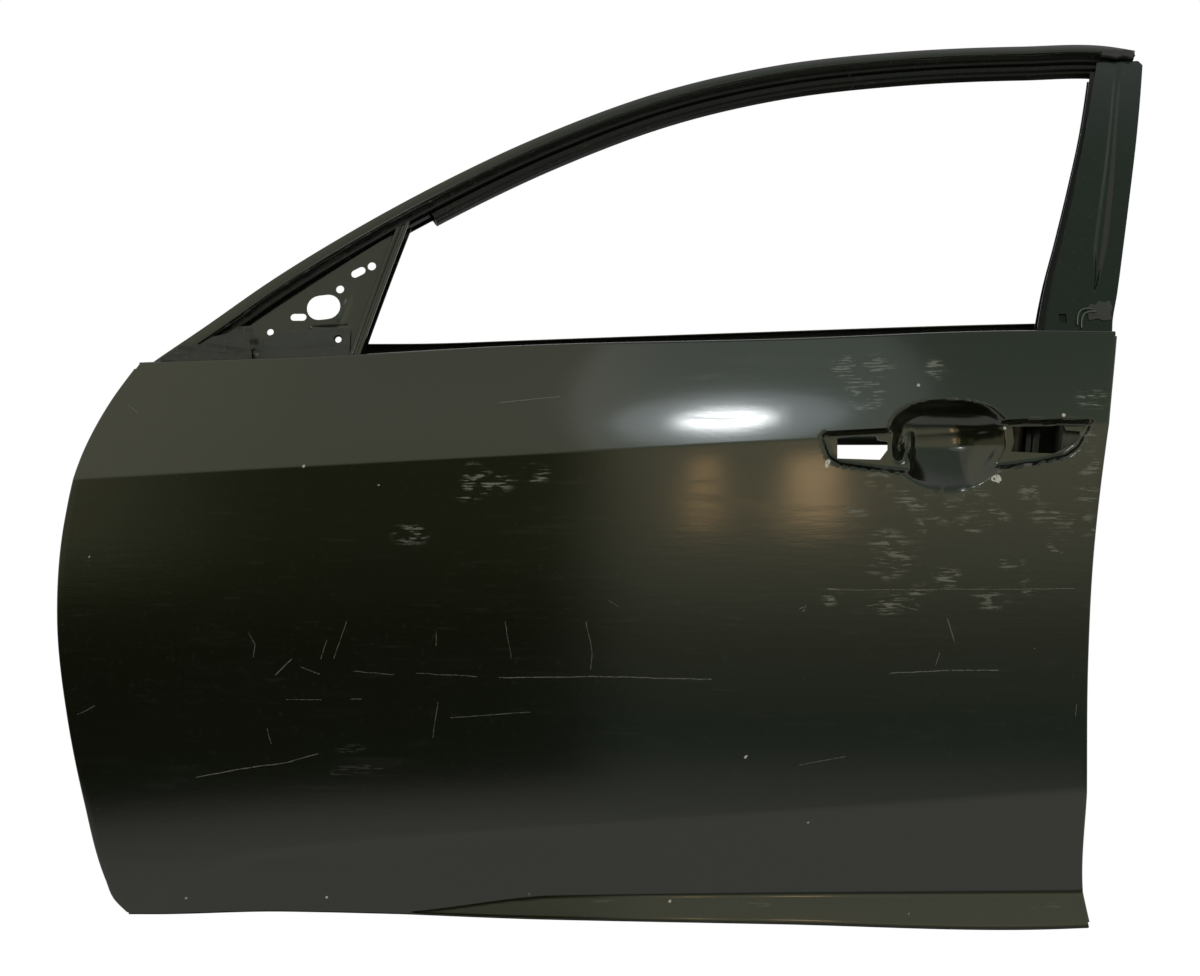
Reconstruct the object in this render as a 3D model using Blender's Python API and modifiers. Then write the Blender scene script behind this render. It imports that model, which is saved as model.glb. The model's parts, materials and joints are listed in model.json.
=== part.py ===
"""Front side door shell of a car, at rest. Metres, +Z up, outer face towards -Y, front edge towards -X.

Every piece is drawn in door coordinates: x runs back from the foremost point of the skin, y runs
inboard and z runs up from the lower edge. One empty carries them all, so that the world origin
lies on the lower hinge pad, where the shell is held.
"""

import bisect
import functools
import math

import bmesh
import bpy
import numpy as np
from mathutils import Matrix, Vector

# Sheets and the gaps between them.
SKIN_SHEET = 0.0008
PANEL_SHEET = 0.0010
SASH_SHEET = 0.0014
PLATE_SHEET = 0.0012
REINFORCEMENT = 0.0025
FIT_GAP = 0.0004
HEM_RETURN = 0.0090
HEM_CLEAR = 0.0012
HEM_WEB = 2 * SKIN_SHEET + PANEL_SHEET + 2 * HEM_CLEAR
BELT_FOLD_WIDTH = 0.0055
BELT_FOLD_DROP = 0.0130
BELT_ROW_BELOW = 0.014

# Shape of the body side.
PLAN_BOW_FRONT = 0.022
PLAN_BOW_REAR = 0.004
PLAN_CENTRE = 0.63
CREASE_AT_FRONT = 0.499
CREASE_RISE = 0.0532
SHOULDER_SLOPE = 0.22
SHOULDER_CURVE = 0.35
SIDE_CURVE = 0.15
SCALLOP_DEPTH = 0.013
SCALLOP_FROM, SCALLOP_FADE = 0.10, 0.14
STRIP_SLOPE = 0.40
STRIP_FROM, STRIP_FADE = 0.32, 0.22

# Styled lines as (abscissa, value) stations: edges give x at z, the others give z at x.
FRONT_EDGE = ((0.0152, 0.0718), (0.0322, 0.0555), (0.0551, 0.0463), (0.1456, 0.0249), (0.2349, 0.0095),
              (0.345, 0.0), (0.455, 0.0095), (0.5427, 0.0333), (0.5872, 0.0556), (0.630, 0.0837))
REAR_EDGE = ((0.0014, 1.1408), (0.0395, 1.1345), (0.1588, 1.1305), (0.3, 1.1277), (0.4119, 1.1312),
             (0.542, 1.1450), (0.6624, 1.1645))
BOTTOM_EDGE = ((0.07, 0.0155), (0.239, 0.0172), (0.472, 0.0129), (0.787, 0.0067), (1.10, 0.0), (1.141, 0.0012))
STRIP_LINE = ((0.06, 0.0196), (0.1855, 0.0235), (0.3748, 0.032), (0.5955, 0.0377), (0.75, 0.039), (1.1367, 0.0395))
SILL_LINE = ((0.06, 0.026), (0.1061, 0.030), (0.1281, 0.0459), (0.1544, 0.0616), (0.1985, 0.0790),
             (0.2564, 0.0887), (0.3759, 0.1002), (0.5999, 0.1176), (0.966, 0.1437), (1.1319, 0.1576))
BELT_LINE = ((0.0837, 0.6299), (0.311, 0.637), (0.5075, 0.6473), (0.7932, 0.6543), (1.0679, 0.6636), (1.1645, 0.6627))
INNER_BELT = ((0.10, 0.6320), (0.165, 0.6330), (0.205, 0.6460), (0.3892, 0.6539), (0.8018, 0.6688), (1.008, 0.6757), (1.16, 0.6790))

# Handle recess: a finger bowl between two shallow wings, each with an opening.
BOWL_X, BOWL_Z = 0.970, 0.5375
BOWL_HALF_LENGTH, BOWL_HALF_HEIGHT = 0.064, 0.0485
BOWL_DEPTH = 0.034
WING_DEPTH = 0.0075
WING_FRONT, WING_REAR = 0.832, 1.131
WING_ABOVE, WING_BELOW = 0.0105, 0.037
WING_WALL = 0.008
FRONT_OPENING = ((0.853, 0.5221), (0.853, 0.5439), (0.873, 0.5460), (0.8956, 0.5460), (0.8972, 0.5415),
                 (0.9075, 0.5405), (0.9075, 0.5314), (0.8995, 0.5207))
REAR_OPENING = ((1.0420, 0.5295), (1.0452, 0.5400), (1.0433, 0.5567), (1.0830, 0.5572), (1.0990, 0.5585),
                (1.1017, 0.5527), (1.1165, 0.5515), (1.1180, 0.5460), (1.1105, 0.5383), (1.0885, 0.5274))

# Inner panel.
FRONT_WALL = 0.090
FRONT_WALL_LEAN = 0.030
REAR_WALL = 1.092
REAR_WALL_TOP = 0.52
LOWER_WALL = 0.034
TRIM_PLANE = 0.140
BELT_LEAN = 0.018
BELT_LEAN_FROM = 0.565
STEP_RISE = 0.012
WALL_FOOT = 0.015
CORNER = 0.008
CORNER_SPREAD = 0.014
PAD_RISE = 0.003
LOWER_PAD = (0.118, 0.192)
UPPER_PAD = (0.433, 0.507)
PAD_SHARES = (0.22, 0.28, 0.76, 0.82)
PAD_RAMP = 0.005
HINGE_BOLT = 0.0052
HINGE_BOLT_PITCH = 0.040
SPEAKER_X, SPEAKER_Z, SPEAKER_RADIUS = 0.262, 0.176, 0.080
MAIN_ACCESS = ((0.40, 0.235), (0.44, 0.520), (0.69, 0.540), (0.705, 0.225))
REAR_ACCESS = ((0.765, 0.315), (0.765, 0.540), (0.965, 0.540), (0.985, 0.400), (0.93, 0.305))
LOWER_ACCESS = ((0.80, 0.125), (0.80, 0.235), (0.985, 0.245), (1.01, 0.150))
ACCESS_RADIUS = 0.026
CLIP_HOLE = 0.0042
CLIP_HOLES = ((0.135, 0.30), (0.135, 0.43), (0.36, 0.085), (0.56, 0.085), (0.74, 0.085), (1.045, 0.09),
              (1.050, 0.28), (1.045, 0.44), (0.34, 0.47), (0.735, 0.42))

# Window frame: the outer edge of the sash, the pillar and the division bar.
SASH_EDGE = ((0.0760, 0.6140), (0.1027, 0.6340), (0.1509, 0.6687), (0.2248, 0.7244), (0.3096, 0.7816), (0.4072, 0.8411),
             (0.5238, 0.9036), (0.6820, 0.9703), (0.8168, 1.0057), (0.9508, 1.0242), (1.1125, 1.0341),
             (1.2240, 1.0347), (1.2535, 1.0287))
SASH_STATIONS = 22
SASH_END_HEIGHT = 0.6350
GLASS_BELT = 0.655
GLASS_OFFSET, GLASS_SLOPE, GLASS_CURVE = 0.045, 0.30, 0.62
GLASS_DROP = 0.20
PILLAR_FRONT = ((1.1965, 1.0090), (1.1692, 0.9250), (1.1462, 0.8603), (1.1191, 0.7840), (1.0987, 0.7257),
                (1.0847, 0.6729))
PILLAR_FOOT = ((1.0735, 0.61), (1.0610, 0.52), (1.0490, 0.43), (1.0420, 0.365))
PLATE_FRONT = ((1.2023, 1.0100), (1.1721, 0.9210), (1.1505, 0.8569), (1.1258, 0.7813), (1.1055, 0.7236),
               (1.0920, 0.6745))
PLATE_REAR = ((1.2597, 1.0135), (1.2284, 0.9049), (1.2060, 0.8264), (1.1901, 0.7669), (1.1750, 0.7070),
              (1.1665, 0.6745))
GROOVE = ((1.2262, 0.9909), (1.2039, 0.9129), (1.1885, 0.8467), (1.1725, 0.7717), (1.1600, 0.7060), (1.150, 0.6745))
GROOVE_HALF_WIDTH = 0.0045
GROOVE_DEPTH = 0.0045
PLATE_FLANGE = 0.0083
DIVISION_TOP = (0.3728, 0.8010)
DIVISION_FOOT = (0.2520, 0.3900)
DIVISION_WIDTH = 0.0125

MM = 0.001
# Sheet lines of the rolled sections: first number across the frame, second inboard, in millimetres.
SASH_SECTION = ((1.0, 5.0), (0.7, 0.7), (12.6, 0.7), (13.2, 9.6), (20.2, 10.0), (21.0, 20.0), (24.8, 20.0),
                (25.4, 13.0), (32.8, 13.5), (33.4, 19.0), (37.0, 19.5), (37.0, 33.0), (6.0, 33.0), (4.4, 7.0))
RUN_SECTION = ((0.7, 14.0), (6.8, 14.0), (7.6, 10.5), (14.5, 10.5), (14.5, 30.0), (0.7, 30.0))
DIVISION_SECTION = ((12.5, 4.7), (0.7, 4.7), (0.7, 20.0), (12.5, 20.0))
SASH_WIDTH = 0.0377
SASH_OVERCUT = 0.006
SASH_DEPTH = 0.0337
RUN_DEPTH = 0.0307

INTO_WINDOW, REARWARDS = (0.6, 0.0, -0.8), (1.0, 0.0, 0.0)

# Mirror bracket: a flat plate in the front triangle. Holes as (x, z, length, width, turn).
BRACKET_DEPTH = 0.012
BRACKET_PLANE = ((0.205, 0.665), (0.335, 0.755), (0.300, 0.660))
BRACKET_FOOT = 0.606
BAR_CLEAR = 0.0003
BRACKET_HOLES = ((0.2837, 0.6938, 0.038, 0.0285, 0.12), (0.2560, 0.6822, 0.018, 0.008, 0.0),
                 (0.3210, 0.7350, 0.017, 0.009, 0.49), (0.2254, 0.6649, 0.0075, 0.0074, 0.0),
                 (0.3360, 0.7421, 0.0095, 0.0094, 0.0), (0.3013, 0.7148, 0.0091, 0.0090, 0.0),
                 (0.3027, 0.6560, 0.0071, 0.0070, 0.0))
BASE_PLATE = ((0.212, 0.6415), (0.218, 0.6580), (0.235, 0.6645), (0.262, 0.6640), (0.275, 0.6690), (0.3165, 0.6685),
              (0.3165, 0.6415))
BASE_HOLE = 0.0052

# Beams, rails and reinforcements inside the door.
BEAM_RADIUS, BEAM_WALL, BEAM_Y = 0.014, 0.0022, 0.047
BEAM_FRONT, BEAM_REAR = (0.132, 0.250), (1.056, 0.225)
BRACKET_REACH, BRACKET_HALF_HEIGHT, BRACKET_INBOARD = 0.100, 0.034, 0.112
HINGE_PLATE = ((0.053, 0.124), 0.048)
NUT_RADIUS, NUT_HEIGHT = 0.0078, 0.0068
CHECK_PLATE = ((0.060, 0.114), (0.311, 0.360))
LATCH_PLATE = ((0.052, 0.122), (0.374, 0.488))
RAIL_ENDS = (0.358, 1.058)
BRACE_ENDS, BRACE_BELOW = (0.80, 1.084), 0.092
STRAP_ENDS, STRAP_HEIGHT = (0.126, 1.080), 0.372
MASTIC_X = (0.30, 0.60, 0.90)
MASTIC_SIZE = (0.070, 0.030, 0.0014)

# Remains on the rear pillar.
TAPE = ((1.1400, 0.6770), (1.1385, 0.6900), (1.1440, 0.6960), (1.1490, 0.6945), (1.1530, 0.6995), (1.1600, 0.6975),
        (1.1655, 0.7000), (1.1680, 0.6910), (1.1650, 0.6850), (1.1660, 0.6780), (1.1560, 0.6765), (1.1500, 0.6790))
TRIM_REMNANT = ((1.2080, 1.0195), (1.2120, 1.0265), (1.2190, 1.0245), (1.2250, 1.0280), (1.2330, 1.0255),
                (1.2410, 1.0285), (1.2480, 1.0250), (1.2500, 1.0195), (1.2430, 1.0165), (1.2350, 1.0190),
                (1.2260, 1.0160), (1.2170, 1.0185))
PLATE_HOLES = ((1.1115, 0.6790, 0.0090, 0.0068, 0.0), (1.1280, 0.6850, 0.0160, 0.0050, 1.75))


@functools.lru_cache(maxsize=None)
def station_slopes(stations):
    xs = tuple(s[0] for s in stations)
    ys = tuple(s[1] for s in stations)
    return xs, ys, tuple(float(g) for g in np.gradient(ys, xs))


def station_line(stations, at):
    """Value of a styled line at one abscissa: a cubic through the stations, straight beyond them."""
    xs, ys, slopes = station_slopes(stations)
    if at <= xs[0]:
        return ys[0] + slopes[0] * (at - xs[0])
    if at >= xs[-1]:
        return ys[-1] + slopes[-1] * (at - xs[-1])
    k = bisect.bisect_right(xs, at) - 1
    span = xs[k + 1] - xs[k]
    t = (at - xs[k]) / span
    return (ys[k] * (1 + 2 * t) * (1 - t) ** 2 + ys[k + 1] * t * t * (3 - 2 * t)
            + span * (slopes[k] * t * (1 - t) ** 2 - slopes[k + 1] * t * t * (1 - t)))


def ease(t):
    """0 to 1 with level ends."""
    t = min(max(t, 0.0), 1.0)
    return t * t * (3 - 2 * t)


def front_edge(z):
    return station_line(FRONT_EDGE, z)


def rear_edge(z):
    return station_line(REAR_EDGE, z)


def bottom_edge(x):
    return station_line(BOTTOM_EDGE, x)


def strip_line(x):
    return station_line(STRIP_LINE, x)


def sill_line(x):
    return station_line(SILL_LINE, x)


def belt_line(x):
    return station_line(BELT_LINE, x)


def crease_line(x):
    return CREASE_AT_FRONT + CREASE_RISE * x


def plan_bow(x):
    """How far the side has curved inboard at x, seen from above."""
    ahead = max(0.0, (PLAN_CENTRE - x) / PLAN_CENTRE)
    behind = max(0.0, (x - PLAN_CENTRE) / (1.13 - PLAN_CENTRE))
    return PLAN_BOW_FRONT * ahead ** 2 + PLAN_BOW_REAR * behind ** 2


def body_side(x, z):
    """y of the outer face without the handle recess."""
    t = z - crease_line(x)
    y = plan_bow(x) + (SHOULDER_SLOPE * t + SHOULDER_CURVE * t * t if t > 0 else SIDE_CURVE * t * t)
    sill = sill_line(x)
    foot = bottom_edge(x) + (strip_line(x) - bottom_edge(x)) * ease((x - STRIP_FROM) / STRIP_FADE)
    y += SCALLOP_DEPTH * ease((sill - z) / (sill - foot)) * ease((x - SCALLOP_FROM) / SCALLOP_FADE)
    return y - STRIP_SLOPE * max(0.0, foot - z)


def recess(x, z):
    """Depth of the handle recess at one point of the skin."""
    reach = ((x - BOWL_X) / BOWL_HALF_LENGTH) ** 2 + ((z - BOWL_Z) / BOWL_HALF_HEIGHT) ** 2
    bowl = BOWL_DEPTH * ease((1 - reach) / 0.80)
    above = crease_line(x) + WING_ABOVE - z
    below = z - crease_line(x) + WING_BELOW - 0.008 * ease((0.88 - x) / 0.05) - 0.008 * ease((x - 1.06) / 0.06)
    inside = min(above, below, x - WING_FRONT, WING_REAR - x) / WING_WALL
    return max(bowl, WING_DEPTH * ease(inside))


def glass_y(x, z):
    """y of the outer face of the window frame, run on down inside the door."""
    h = max(z - GLASS_BELT, -GLASS_DROP)
    return GLASS_OFFSET + GLASS_SLOPE * h + GLASS_CURVE * h * h + plan_bow(x)


def trim_y(x, z):
    """y of the inner panel's inboard face."""
    return TRIM_PLANE - BELT_LEAN * ease((z - BELT_LEAN_FROM) / (0.66 - BELT_LEAN_FROM))


def material(name, colour, roughness, metallic=0.0):
    made = bpy.data.materials.new(name)
    made.use_nodes = True
    shader = made.node_tree.nodes["Principled BSDF"]
    shader.inputs["Base Color"].default_value = (*colour, 1.0)
    shader.inputs["Roughness"].default_value = roughness
    shader.inputs["Metallic"].default_value = metallic
    return made


PAINT = ((0.030, 0.034, 0.022), 0.28)
PRIMER = ((0.020, 0.026, 0.022), 0.45)
BLACK = ((0.012, 0.013, 0.012), 0.50)


def collection_named(name):
    if name not in bpy.data.collections:
        made = bpy.data.collections.new(name)
        bpy.context.scene.collection.children.link(made)
    return bpy.data.collections[name]


def datum_empty():
    if "door_datum" not in bpy.data.objects:
        empty = bpy.data.objects.new("door_datum", None)
        collection_named("car_door_shell").objects.link(empty)
        empty.location = -Vector(DATUM)
    return bpy.data.objects["door_datum"]


def object_from(bm, name, finish=None):
    """A part from a bmesh, with its own material; with no finish it is a cutter."""
    mesh = bpy.data.meshes.new(name)
    bm.to_mesh(mesh)
    bm.free()
    obj = bpy.data.objects.new(name, mesh)
    obj.parent = datum_empty()
    if finish is None:
        collection_named("door_cutters").objects.link(obj)
        obj.hide_render = True
        obj.display_type = "WIRE"
        return obj
    collection_named("car_door_shell").objects.link(obj)
    mesh.materials.append(material(name + "_finish", *finish))
    return obj


def solidify(obj, thickness, offset=-1.0, even=True):
    made = obj.modifiers.new("sheet", "SOLIDIFY")
    made.thickness = thickness
    made.offset = offset
    made.use_even_offset = even
    return made


def cut(obj, cutter):
    made = obj.modifiers.new("cut_" + cutter.name, "BOOLEAN")
    made.operation = "DIFFERENCE"
    made.solver = "EXACT"
    made.object = cutter


def grid_part(name, columns, rows, place, finish, dropped=()):
    """A sheet from a grid tool: place(i, j) puts each vertex, and dropped cells leave the corners open."""
    bm = bmesh.new()
    bmesh.ops.create_grid(bm, x_segments=columns - 1, y_segments=rows - 1, size=0.5)
    bm.verts.ensure_lookup_table()
    index = {v: (round((v.co.x + 0.5) * (columns - 1)), round((v.co.y + 0.5) * (rows - 1))) for v in bm.verts}
    gone = [f for f in bm.faces if (min(index[v][0] for v in f.verts), min(index[v][1] for v in f.verts)) in dropped]
    for v, (i, j) in index.items():
        v.co = place(i, j)
    bmesh.ops.delete(bm, geom=gone, context="FACES")
    loose = [v for v in bm.verts if not v.link_faces]
    bmesh.ops.delete(bm, geom=loose, context="VERTS")
    if sum(f.normal.y * f.calc_area() for f in bm.faces if not f.normal_update()) > 0:
        bmesh.ops.reverse_faces(bm, faces=bm.faces)
    return object_from(bm, name, finish)


def extruded(outline, axis, low, high):
    """A closed prism in a bmesh: the outline lies across the axis, as (x, z), (y, z) or (x, y)."""
    places = {"X": lambda a, b: (low, a, b), "Y": lambda a, b: (a, low, b), "Z": lambda a, b: (a, b, low)}
    bm = bmesh.new()
    face = bm.faces.new([bm.verts.new(places[axis](*p)) for p in outline])
    moved = bmesh.ops.extrude_face_region(bm, geom=[face])
    step = {"X": (high - low, 0, 0), "Y": (0, high - low, 0), "Z": (0, 0, high - low)}[axis]
    bmesh.ops.translate(bm, vec=step, verts=[g for g in moved["geom"] if isinstance(g, bmesh.types.BMVert)])
    bmesh.ops.recalc_face_normals(bm, faces=bm.faces)
    return bm


def circle_outline(a, b, radius, count=20):
    return [(a + radius * math.cos(2 * math.pi * k / count), b + radius * math.sin(2 * math.pi * k / count))
            for k in range(count)]


def slot_outline(a, b, length, width, turn=0.0, count=5):
    """A slot with round ends, its length turned by an angle."""
    points = []
    for side in (0, 1):
        for k in range(count + 1):
            angle = math.pi * (side + k / count) - math.pi / 2
            u = (length - width) / 2 * (1 - 2 * side) + width / 2 * math.cos(angle)
            v = width / 2 * math.sin(angle)
            points.append((a + u * math.cos(turn) - v * math.sin(turn), b + u * math.sin(turn) + v * math.cos(turn)))
    return points


def rounded(outline, radius, count=4):
    """The outline with each corner turned through an arc-like curve."""
    made = []
    for k, corner in enumerate(outline):
        corner = Vector(corner)
        before = (Vector(outline[k - 1]) - corner).normalized() * radius + corner
        after = (Vector(outline[(k + 1) % len(outline)]) - corner).normalized() * radius + corner
        for s in range(count + 1):
            t = s / count
            made.append(tuple(before * (1 - t) ** 2 + corner * 2 * t * (1 - t) + after * t * t))
    return made


def joined(bms):
    whole = bmesh.new()
    for bm in bms:
        step = bpy.data.meshes.new("step")
        bm.to_mesh(step)
        bm.free()
        whole.from_mesh(step)
        bpy.data.meshes.remove(step)
    return whole


def sheet_outline(line, thickness):
    """The closed outline of a bent sheet from its centre line, mitred at the bends."""
    points = [Vector(p) for p in line]
    sides = ([], [])
    for k, p in enumerate(points):
        before = (p - points[k - 1]).normalized() if k else None
        after = (points[k + 1] - p).normalized() if k + 1 < len(points) else None
        before, after = before or after, after or before
        across = Vector((-before.y - after.y, before.x + after.x)).normalized()
        reach = thickness / 2 / max(0.35, across.dot(Vector((-before.y, before.x))))
        sides[0].append(p + across * reach)
        sides[1].append(p - across * reach)
    return sides[0] + sides[1][::-1]


def loft(name, rings, finish):
    """Skins a row of equal rings and closes both ends."""
    bm = bmesh.new()
    made = [[bm.verts.new(p) for p in ring] for ring in rings]
    count = len(rings[0])
    for one, other in zip(made, made[1:]):
        for k in range(count):
            bm.faces.new((one[k], one[(k + 1) % count], other[(k + 1) % count], other[k]))
    bm.faces.new(made[0][::-1])
    bm.faces.new(made[-1])
    bmesh.ops.recalc_face_normals(bm, faces=bm.faces)
    bmesh.ops.triangulate(bm, faces=[f for f in bm.faces if len(f.verts) > 4])
    if bm.calc_volume(signed=True) < 0:
        bmesh.ops.reverse_faces(bm, faces=bm.faces)
    return object_from(bm, name, finish)


def resampled(points, count):
    """Evenly spaced points of a smooth line through (x, z) points."""
    steps = [0.0]
    for a, b in zip(points, points[1:]):
        steps.append(steps[-1] + math.dist(a, b))
    xs = tuple((s, p[0]) for s, p in zip(steps, points))
    zs = tuple((s, p[1]) for s, p in zip(steps, points))
    ats = [steps[-1] * k / (count - 1) for k in range(count)]
    return [(station_line(xs, s), station_line(zs, s)) for s in ats]


def frame_rings(line, section, towards):
    """Rings of a section along a line on the window surface; towards points across the section."""
    outline = [Vector(p) * MM for p in section]
    spots = [Vector((x, glass_y(x, z), z)) for x, z in line]
    rings = []
    for k, spot in enumerate(spots):
        along = (spots[min(k + 1, len(spots) - 1)] - spots[max(k - 1, 0)]).normalized()
        inboard = window_inboard(spot.x, spot.z)
        across = inboard.cross(along).normalized()
        if across.dot(Vector(towards)) < 0:
            across.negate()
        inboard = along.cross(across).normalized()
        if inboard.y < 0:
            inboard.negate()
        rings.append([spot + across * p.x + inboard * p.y for p in outline])
    return rings


def window_inboard(x, z):
    """Direction square to the window surface, pointing inboard."""
    d = 0.002
    slope_x = (glass_y(x + d, z) - glass_y(x - d, z)) / (2 * d)
    slope_z = (glass_y(x, z + d) - glass_y(x, z - d)) / (2 * d)
    return Vector((-slope_x, 1.0, -slope_z)).normalized()


# Reference columns of the skin, at the height of the handle.
REFERENCE_HEIGHT = 0.545
SKIN_COLUMNS = (
    [0.034, 0.050, 0.085, 0.130, 0.19] + [0.26 + 0.075 * k for k in range(7)] + [0.775, 0.815]
    + [0.832, 0.840, 0.858, 0.878, 0.896, 0.909, 0.921, 0.934, 0.951, 0.970, 0.989, 1.005]
    + [1.019, 1.031, 1.047, 1.068, 1.092, 1.110, 1.123, 1.131, 1.1453]
)
CREASE_ROWS = (-0.062, -0.050, -0.037, -0.029, -0.018, -0.008, 0.0, 0.005, 0.0105, 0.022, 0.033, 0.045)
SIDE_SHARES = (0.28, 0.56, 0.82)
SILL_ROW_LEAST = 0.070


def column_x(reference, z):
    """x of a skin column at a height: the outer ones follow the edges, the middle ones stand upright."""
    first, last = SKIN_COLUMNS[0], SKIN_COLUMNS[-1]
    fore = max(0.0, (0.55 - reference) / (0.55 - first)) ** 1.5
    aft = max(0.0, (reference - 0.80) / (last - 0.80)) ** 2
    return reference + fore * (front_edge(z) - first) + aft * (rear_edge(z) - last)


@functools.lru_cache(maxsize=None)
def skin_rows(x):
    """Heights of the skin rows at x, from the lower edge to the belt."""
    bottom, strip, sill = bottom_edge(x), strip_line(x), max(sill_line(x), SILL_ROW_LEAST)
    crease, belt = crease_line(x), belt_line(x)
    low = crease + CREASE_ROWS[0]
    rows = [bottom, (bottom + strip) / 2, strip, strip + (sill - strip) / 3, strip + (sill - strip) * 2 / 3, sill]
    rows += [sill + (low - sill) * s for s in SIDE_SHARES]
    rows += [crease + c for c in CREASE_ROWS]
    top = crease + CREASE_ROWS[-1]
    return rows + [(top + belt - BELT_ROW_BELOW) / 2, belt - BELT_ROW_BELOW, belt]


SKIN_ROW_COUNT = 6 + len(SIDE_SHARES) + len(CREASE_ROWS) + 3
FOLD_ENDS = (3, 4, len(SKIN_COLUMNS) - 2, len(SKIN_COLUMNS) - 1)


@functools.lru_cache(maxsize=None)
def skin_point(reference, row):
    x = reference
    for _ in range(6):
        z = skin_rows(x)[row]
        x = column_x(reference, z)
    return x, z


@functools.lru_cache(maxsize=None)
def edge_line(reference):
    line = [skin_point(reference, row) for row in range(SKIN_ROW_COUNT)]
    return [p[1] for p in line], [p[0] for p in line]


def skin_edge(reference, z):
    """x of the skin's front or rear edge on the straight facets between its rows."""
    return float(np.interp(z, *edge_line(reference)))


def facet_y(x, z):
    """y of the body side on the flat facets between the skin's rows."""
    rows = skin_rows(x)
    return float(np.interp(z, rows, [body_side(x, row) for row in rows]))


def skin_y(x, z):
    return body_side(x, z) + recess(x, z)


def outer_skin():
    """The outer skin: body side with the handle recess, hemmed on three sides and folded at the belt."""
    columns, rows = len(SKIN_COLUMNS), SKIN_ROW_COUNT
    front, rear = SKIN_COLUMNS[0], SKIN_COLUMNS[-1]

    def side_hem(reference, row, layer, inward):
        z = skin_point(reference, row)[1]
        x = skin_edge(reference, z) + (inward * HEM_RETURN if layer == 2 else 0.0)
        return x, facet_y(x, z) + HEM_WEB, z

    def end_hem(column, row, layer):
        x, z = skin_point(SKIN_COLUMNS[column], row)
        if row:
            return x, body_side(x, z) + BELT_FOLD_WIDTH, z - (BELT_FOLD_DROP if layer == 2 else 0.0)
        z += HEM_RETURN if layer == 2 else 0.0
        return x, facet_y(x, z) + HEM_WEB, z

    def place(i, j):
        i, j = i - 2, j - 2
        column = min(max(i, 0), columns - 1)
        row = min(max(j, 0), rows - 1)
        if i < 0 or i >= columns:
            layer = -i if i < 0 else i - columns + 1
            return side_hem(front if i < 0 else rear, row, layer, 1 if i < 0 else -1)
        if j < 0 or j >= rows:
            return end_hem(column, row, -j if j < 0 else j - rows + 1)
        x, z = skin_point(SKIN_COLUMNS[column], row)
        return x, skin_y(x, z), z

    sides, ends = (0, 1, columns + 1, columns + 2), (0, 1, rows + 1, rows + 2)
    corners = {(i, j) for i in sides for j in ends + (2, rows)}
    corners |= {(i, j) for i in (2, columns) for j in ends} | {(i, j) for i in FOLD_ENDS for j in ends[2:]}
    skin = grid_part("outer_skin", columns + 4, rows + 4, place, PAINT, corners)
    solidify(skin, SKIN_SHEET)
    holes = joined([extruded(FRONT_OPENING, "Y", -0.02, 0.06), extruded(REAR_OPENING, "Y", -0.02, 0.06)])
    cut(skin, object_from(holes, "handle_openings"))
    return skin


def front_wall(z):
    """x of the inner panel's front wall: flat over the hinges, leaning back with the edge above them."""
    return max(FRONT_WALL, front_edge(min(z, 0.63)) + FRONT_WALL_LEAN)


def rear_wall(z):
    return REAR_WALL + max(0.0, rear_edge(z) - rear_edge(REAR_WALL_TOP))


def lower_wall(x):
    return bottom_edge(x) + LOWER_WALL


WALL_SHARES = (0.0,) + PAD_SHARES + (1.0,)
FACE_COLUMNS = (0.130, 0.19, 0.26, 0.335, 0.41, 0.485, 0.56, 0.635, 0.71, 0.775, 0.858, 0.934, 1.005, 1.047)
REAR_SHARES = (1.0, 0.70, 0.30, 0.0)
LOW_SHARES = (0.0, 0.5, 1.0)
FACE_ROWS = (LOWER_PAD[0], LOWER_PAD[0] + PAD_RAMP, LOWER_PAD[1] - PAD_RAMP, LOWER_PAD[1], 0.25, 0.31, 0.37,
             UPPER_PAD[0], UPPER_PAD[0] + PAD_RAMP, UPPER_PAD[1] - PAD_RAMP, UPPER_PAD[1], 0.545, 0.575, 0.605,
             0.635, 0.66)
TOP_FROM = 0.545
FLANGE_FOOT, FLANGE_STEP = 0.030, 0.009
# Skin rows that the hem flange of the panel follows; a half lies midway between two rows.
FLANGE_ROWS = (2, 2.5, 3, 3.5, 4, 4.5, 5, 5.5, 6, 7, 8, 9, 10, 11, 13, 15, 18, 20, 21, 23)


def flange_height(level, height, x):
    """Height of a panel row where the panel lies in the side hems."""
    order = [r for r in panel_rows() if r[0] in ("wall", "start", "face")].index((level, height))
    rows = skin_rows(x)
    z = float(np.interp(FLANGE_ROWS[order], range(len(rows)), rows))
    return max(bottom_edge(x) + FLANGE_FOOT + FLANGE_STEP * order, min(z, belt_line(x) - 0.004))


def panel_sheet_y(x, z):
    """y of the inner panel's flange, laid in the hem against the skin's facets."""
    return facet_y(x, z) + SKIN_SHEET + HEM_CLEAR


def panel_columns():
    """(kind, share) of each column of the inner panel, from the front edge to the rear one."""
    fore = [("edge", 0.0), ("hem", 0.0), ("step", 0.0)] + [("wall", s) for s in WALL_SHARES] + [("start", 1.0)]
    aft = [("end", 1.0)] + [("back", s) for s in REAR_SHARES] + [("step_back", 0.0), ("hem_back", 0.0), ("edge_back", 0.0)]
    return fore + [("face", x) for x in FACE_COLUMNS] + aft


def panel_rows():
    low = [("edge", 0.0), ("hem", 0.0), ("step", 0.0)] + [("wall", s) for s in LOW_SHARES] + [("start", 1.0)]
    return low + [("face", z) for z in FACE_ROWS] + [("fold", 0.0)]


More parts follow.
